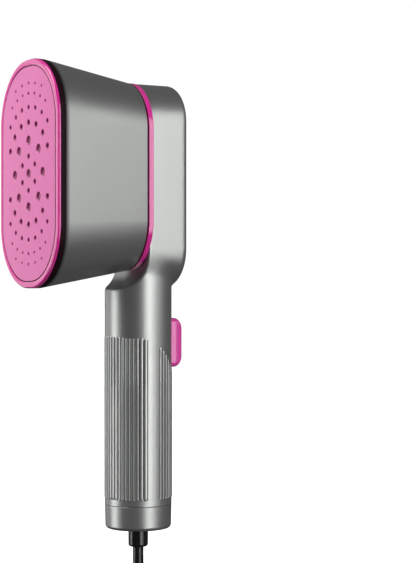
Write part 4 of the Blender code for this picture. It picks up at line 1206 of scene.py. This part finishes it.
def add_swivel_ring(looks):
    """Coloured ring, with a narrow shadow gap beside the head whose faces carry painted shade."""
    front, back = RING[0][1], RING[1][1]
    step = front + RING_GAP_WIDTH
    profile = [(RING_GAP_DEPTH, front), (RING_GAP_DEPTH, step)]
    profile += [(FINE_EDGE - x, y) for x, y in arc((0, step + FINE_EDGE), FINE_EDGE, -90, 0, 6)]
    profile += [(FINE_EDGE - x, y) for x, y in arc((0, back - FINE_EDGE), FINE_EDGE, 0, 90, 6)]
    mesh = loft(inset_loops(RING_HALF_LENGTH, RING_HALF_WIDTH, RING_HALF_WIDTH, profile, steps=36))
    mesh = cut(mesh, [along_y(lathe(rod_profile(SPIGOT_HOLE_R, -0.02, 0.01), 64), 0, 0, AXIS_Z)])
    add_piece("accent_ring", mesh, looks, "head", "fuchsia_trim", "swivel_ring")
    mesh.materials.append(looks["fuchsia_groove_shade"])
    # faces in the shadow gap get the dark colour: painted shade
    for face in mesh.polygons:
        face.material_index = int(face.center.y < step + FINE_EDGE / 4)


def add_tank_plug(looks):
    """Rubber filler plug with a raised finger tab across its face."""
    face_r, rim_r, skirt_r, stem_r = 0.0056, 0.0072, 0.0080, 0.0050
    stem_end, stem_chamfer = -0.0090, 0.0006
    profile = [(0, -0.0001), (face_r, -0.0001), (face_r + 0.0004, 0.0002), (rim_r, 0.0002),
               *arc((rim_r + 0.0002, -0.0004), 0.0006, 70, 0, 4), (skirt_r, -0.0022), (stem_r, -0.0026),
               (stem_r, -0.0082), (stem_r - stem_chamfer, stem_end), (0, stem_end)]
    grip = []
    for half, half_width, z in FILLER_TAB:
        grip.append([(x, y, z) for x, _, y in stadium(half, half_width, half_width, 0, 0, 8)])
    mesh = cut(at_filler(lathe(profile, 64)), [at_filler(loft(grip))], "UNION")
    add_piece("filler_bung", mesh, looks, "filler", "grey_rubber", "tank_plug")


# ---- plug

def add_mains_plug(looks):
    """Moulded plug: a ribbed tapered tail, a soft body and grip ridges at its sides."""
    x = PLUG[1][0]
    y = TAIL_ROUTE[-1][1]
    z = (PLUG[0][2] + PLUG[1][2]) / 2
    tail_z = COIL[0][2] + CORD_R
    loops = []

    def section(reach, half_y, half_z, mid_z):
        corner = min(half_y, half_z) * PLUG_CORNER_SHARE
        outline = stadium(half_z, half_y, corner, 0, 0, 10)
        loops.append([(x - reach, y + across, mid_z + up) for across, _, up in outline])

    section(0.0, TAIL_END_HALF, TAIL_END_HALF, tail_z)
    for i in range(TAIL_RING_COUNT):
        start = TAIL_RING_START + i * TAIL_RING_PITCH
        grow = i * TAIL_RING_GROWTH
        for reach, half_y, half_z in TAIL_RING:
            section(start + reach, half_y + grow, half_z + grow / 4, tail_z)
    section(*PLUG_NECK, z - PLUG_NECK_DROP)
    for shape in PLUG_SHOULDER:
        section(*shape, z)
    section(PLUG_BODY_START, PLUG_HALF_WIDTH, PLUG_HALF_HEIGHT, z)
    for i in range(RIDGE_COUNT):
        start = RIDGE_START + i * RIDGE_PITCH
        for reach, depth in RIDGE_GROOVE:
            section(start + reach, PLUG_HALF_WIDTH - depth, PLUG_HALF_HEIGHT, z)
    for shape in PLUG_END:
        section(*shape, z)
    return add_piece("mains_plug", loft(loops), looks, "handle", "black_moulding", "plug_body")


def main():
    looks = make_looks()
    dress_cad_nodes(looks)
    add_camera()
    add_floor()
    add_world()
    add_lights()
    bpy.context.scene.view_settings.view_transform = "Standard"
    cord = add_cord(looks)
    strap = add_tie(looks)
    plug = add_mains_plug(looks)
    add_handle(looks)
    add_front_cover(looks)
    add_end_cap(looks)
    add_strain_relief(looks)
    add_button(looks)
    add_return_spring(looks)
    add_plate(looks)
    add_gasket(looks)
    add_head_shell(looks)
    add_swivel_ring(looks)
    add_tank_plug(looks)


main()
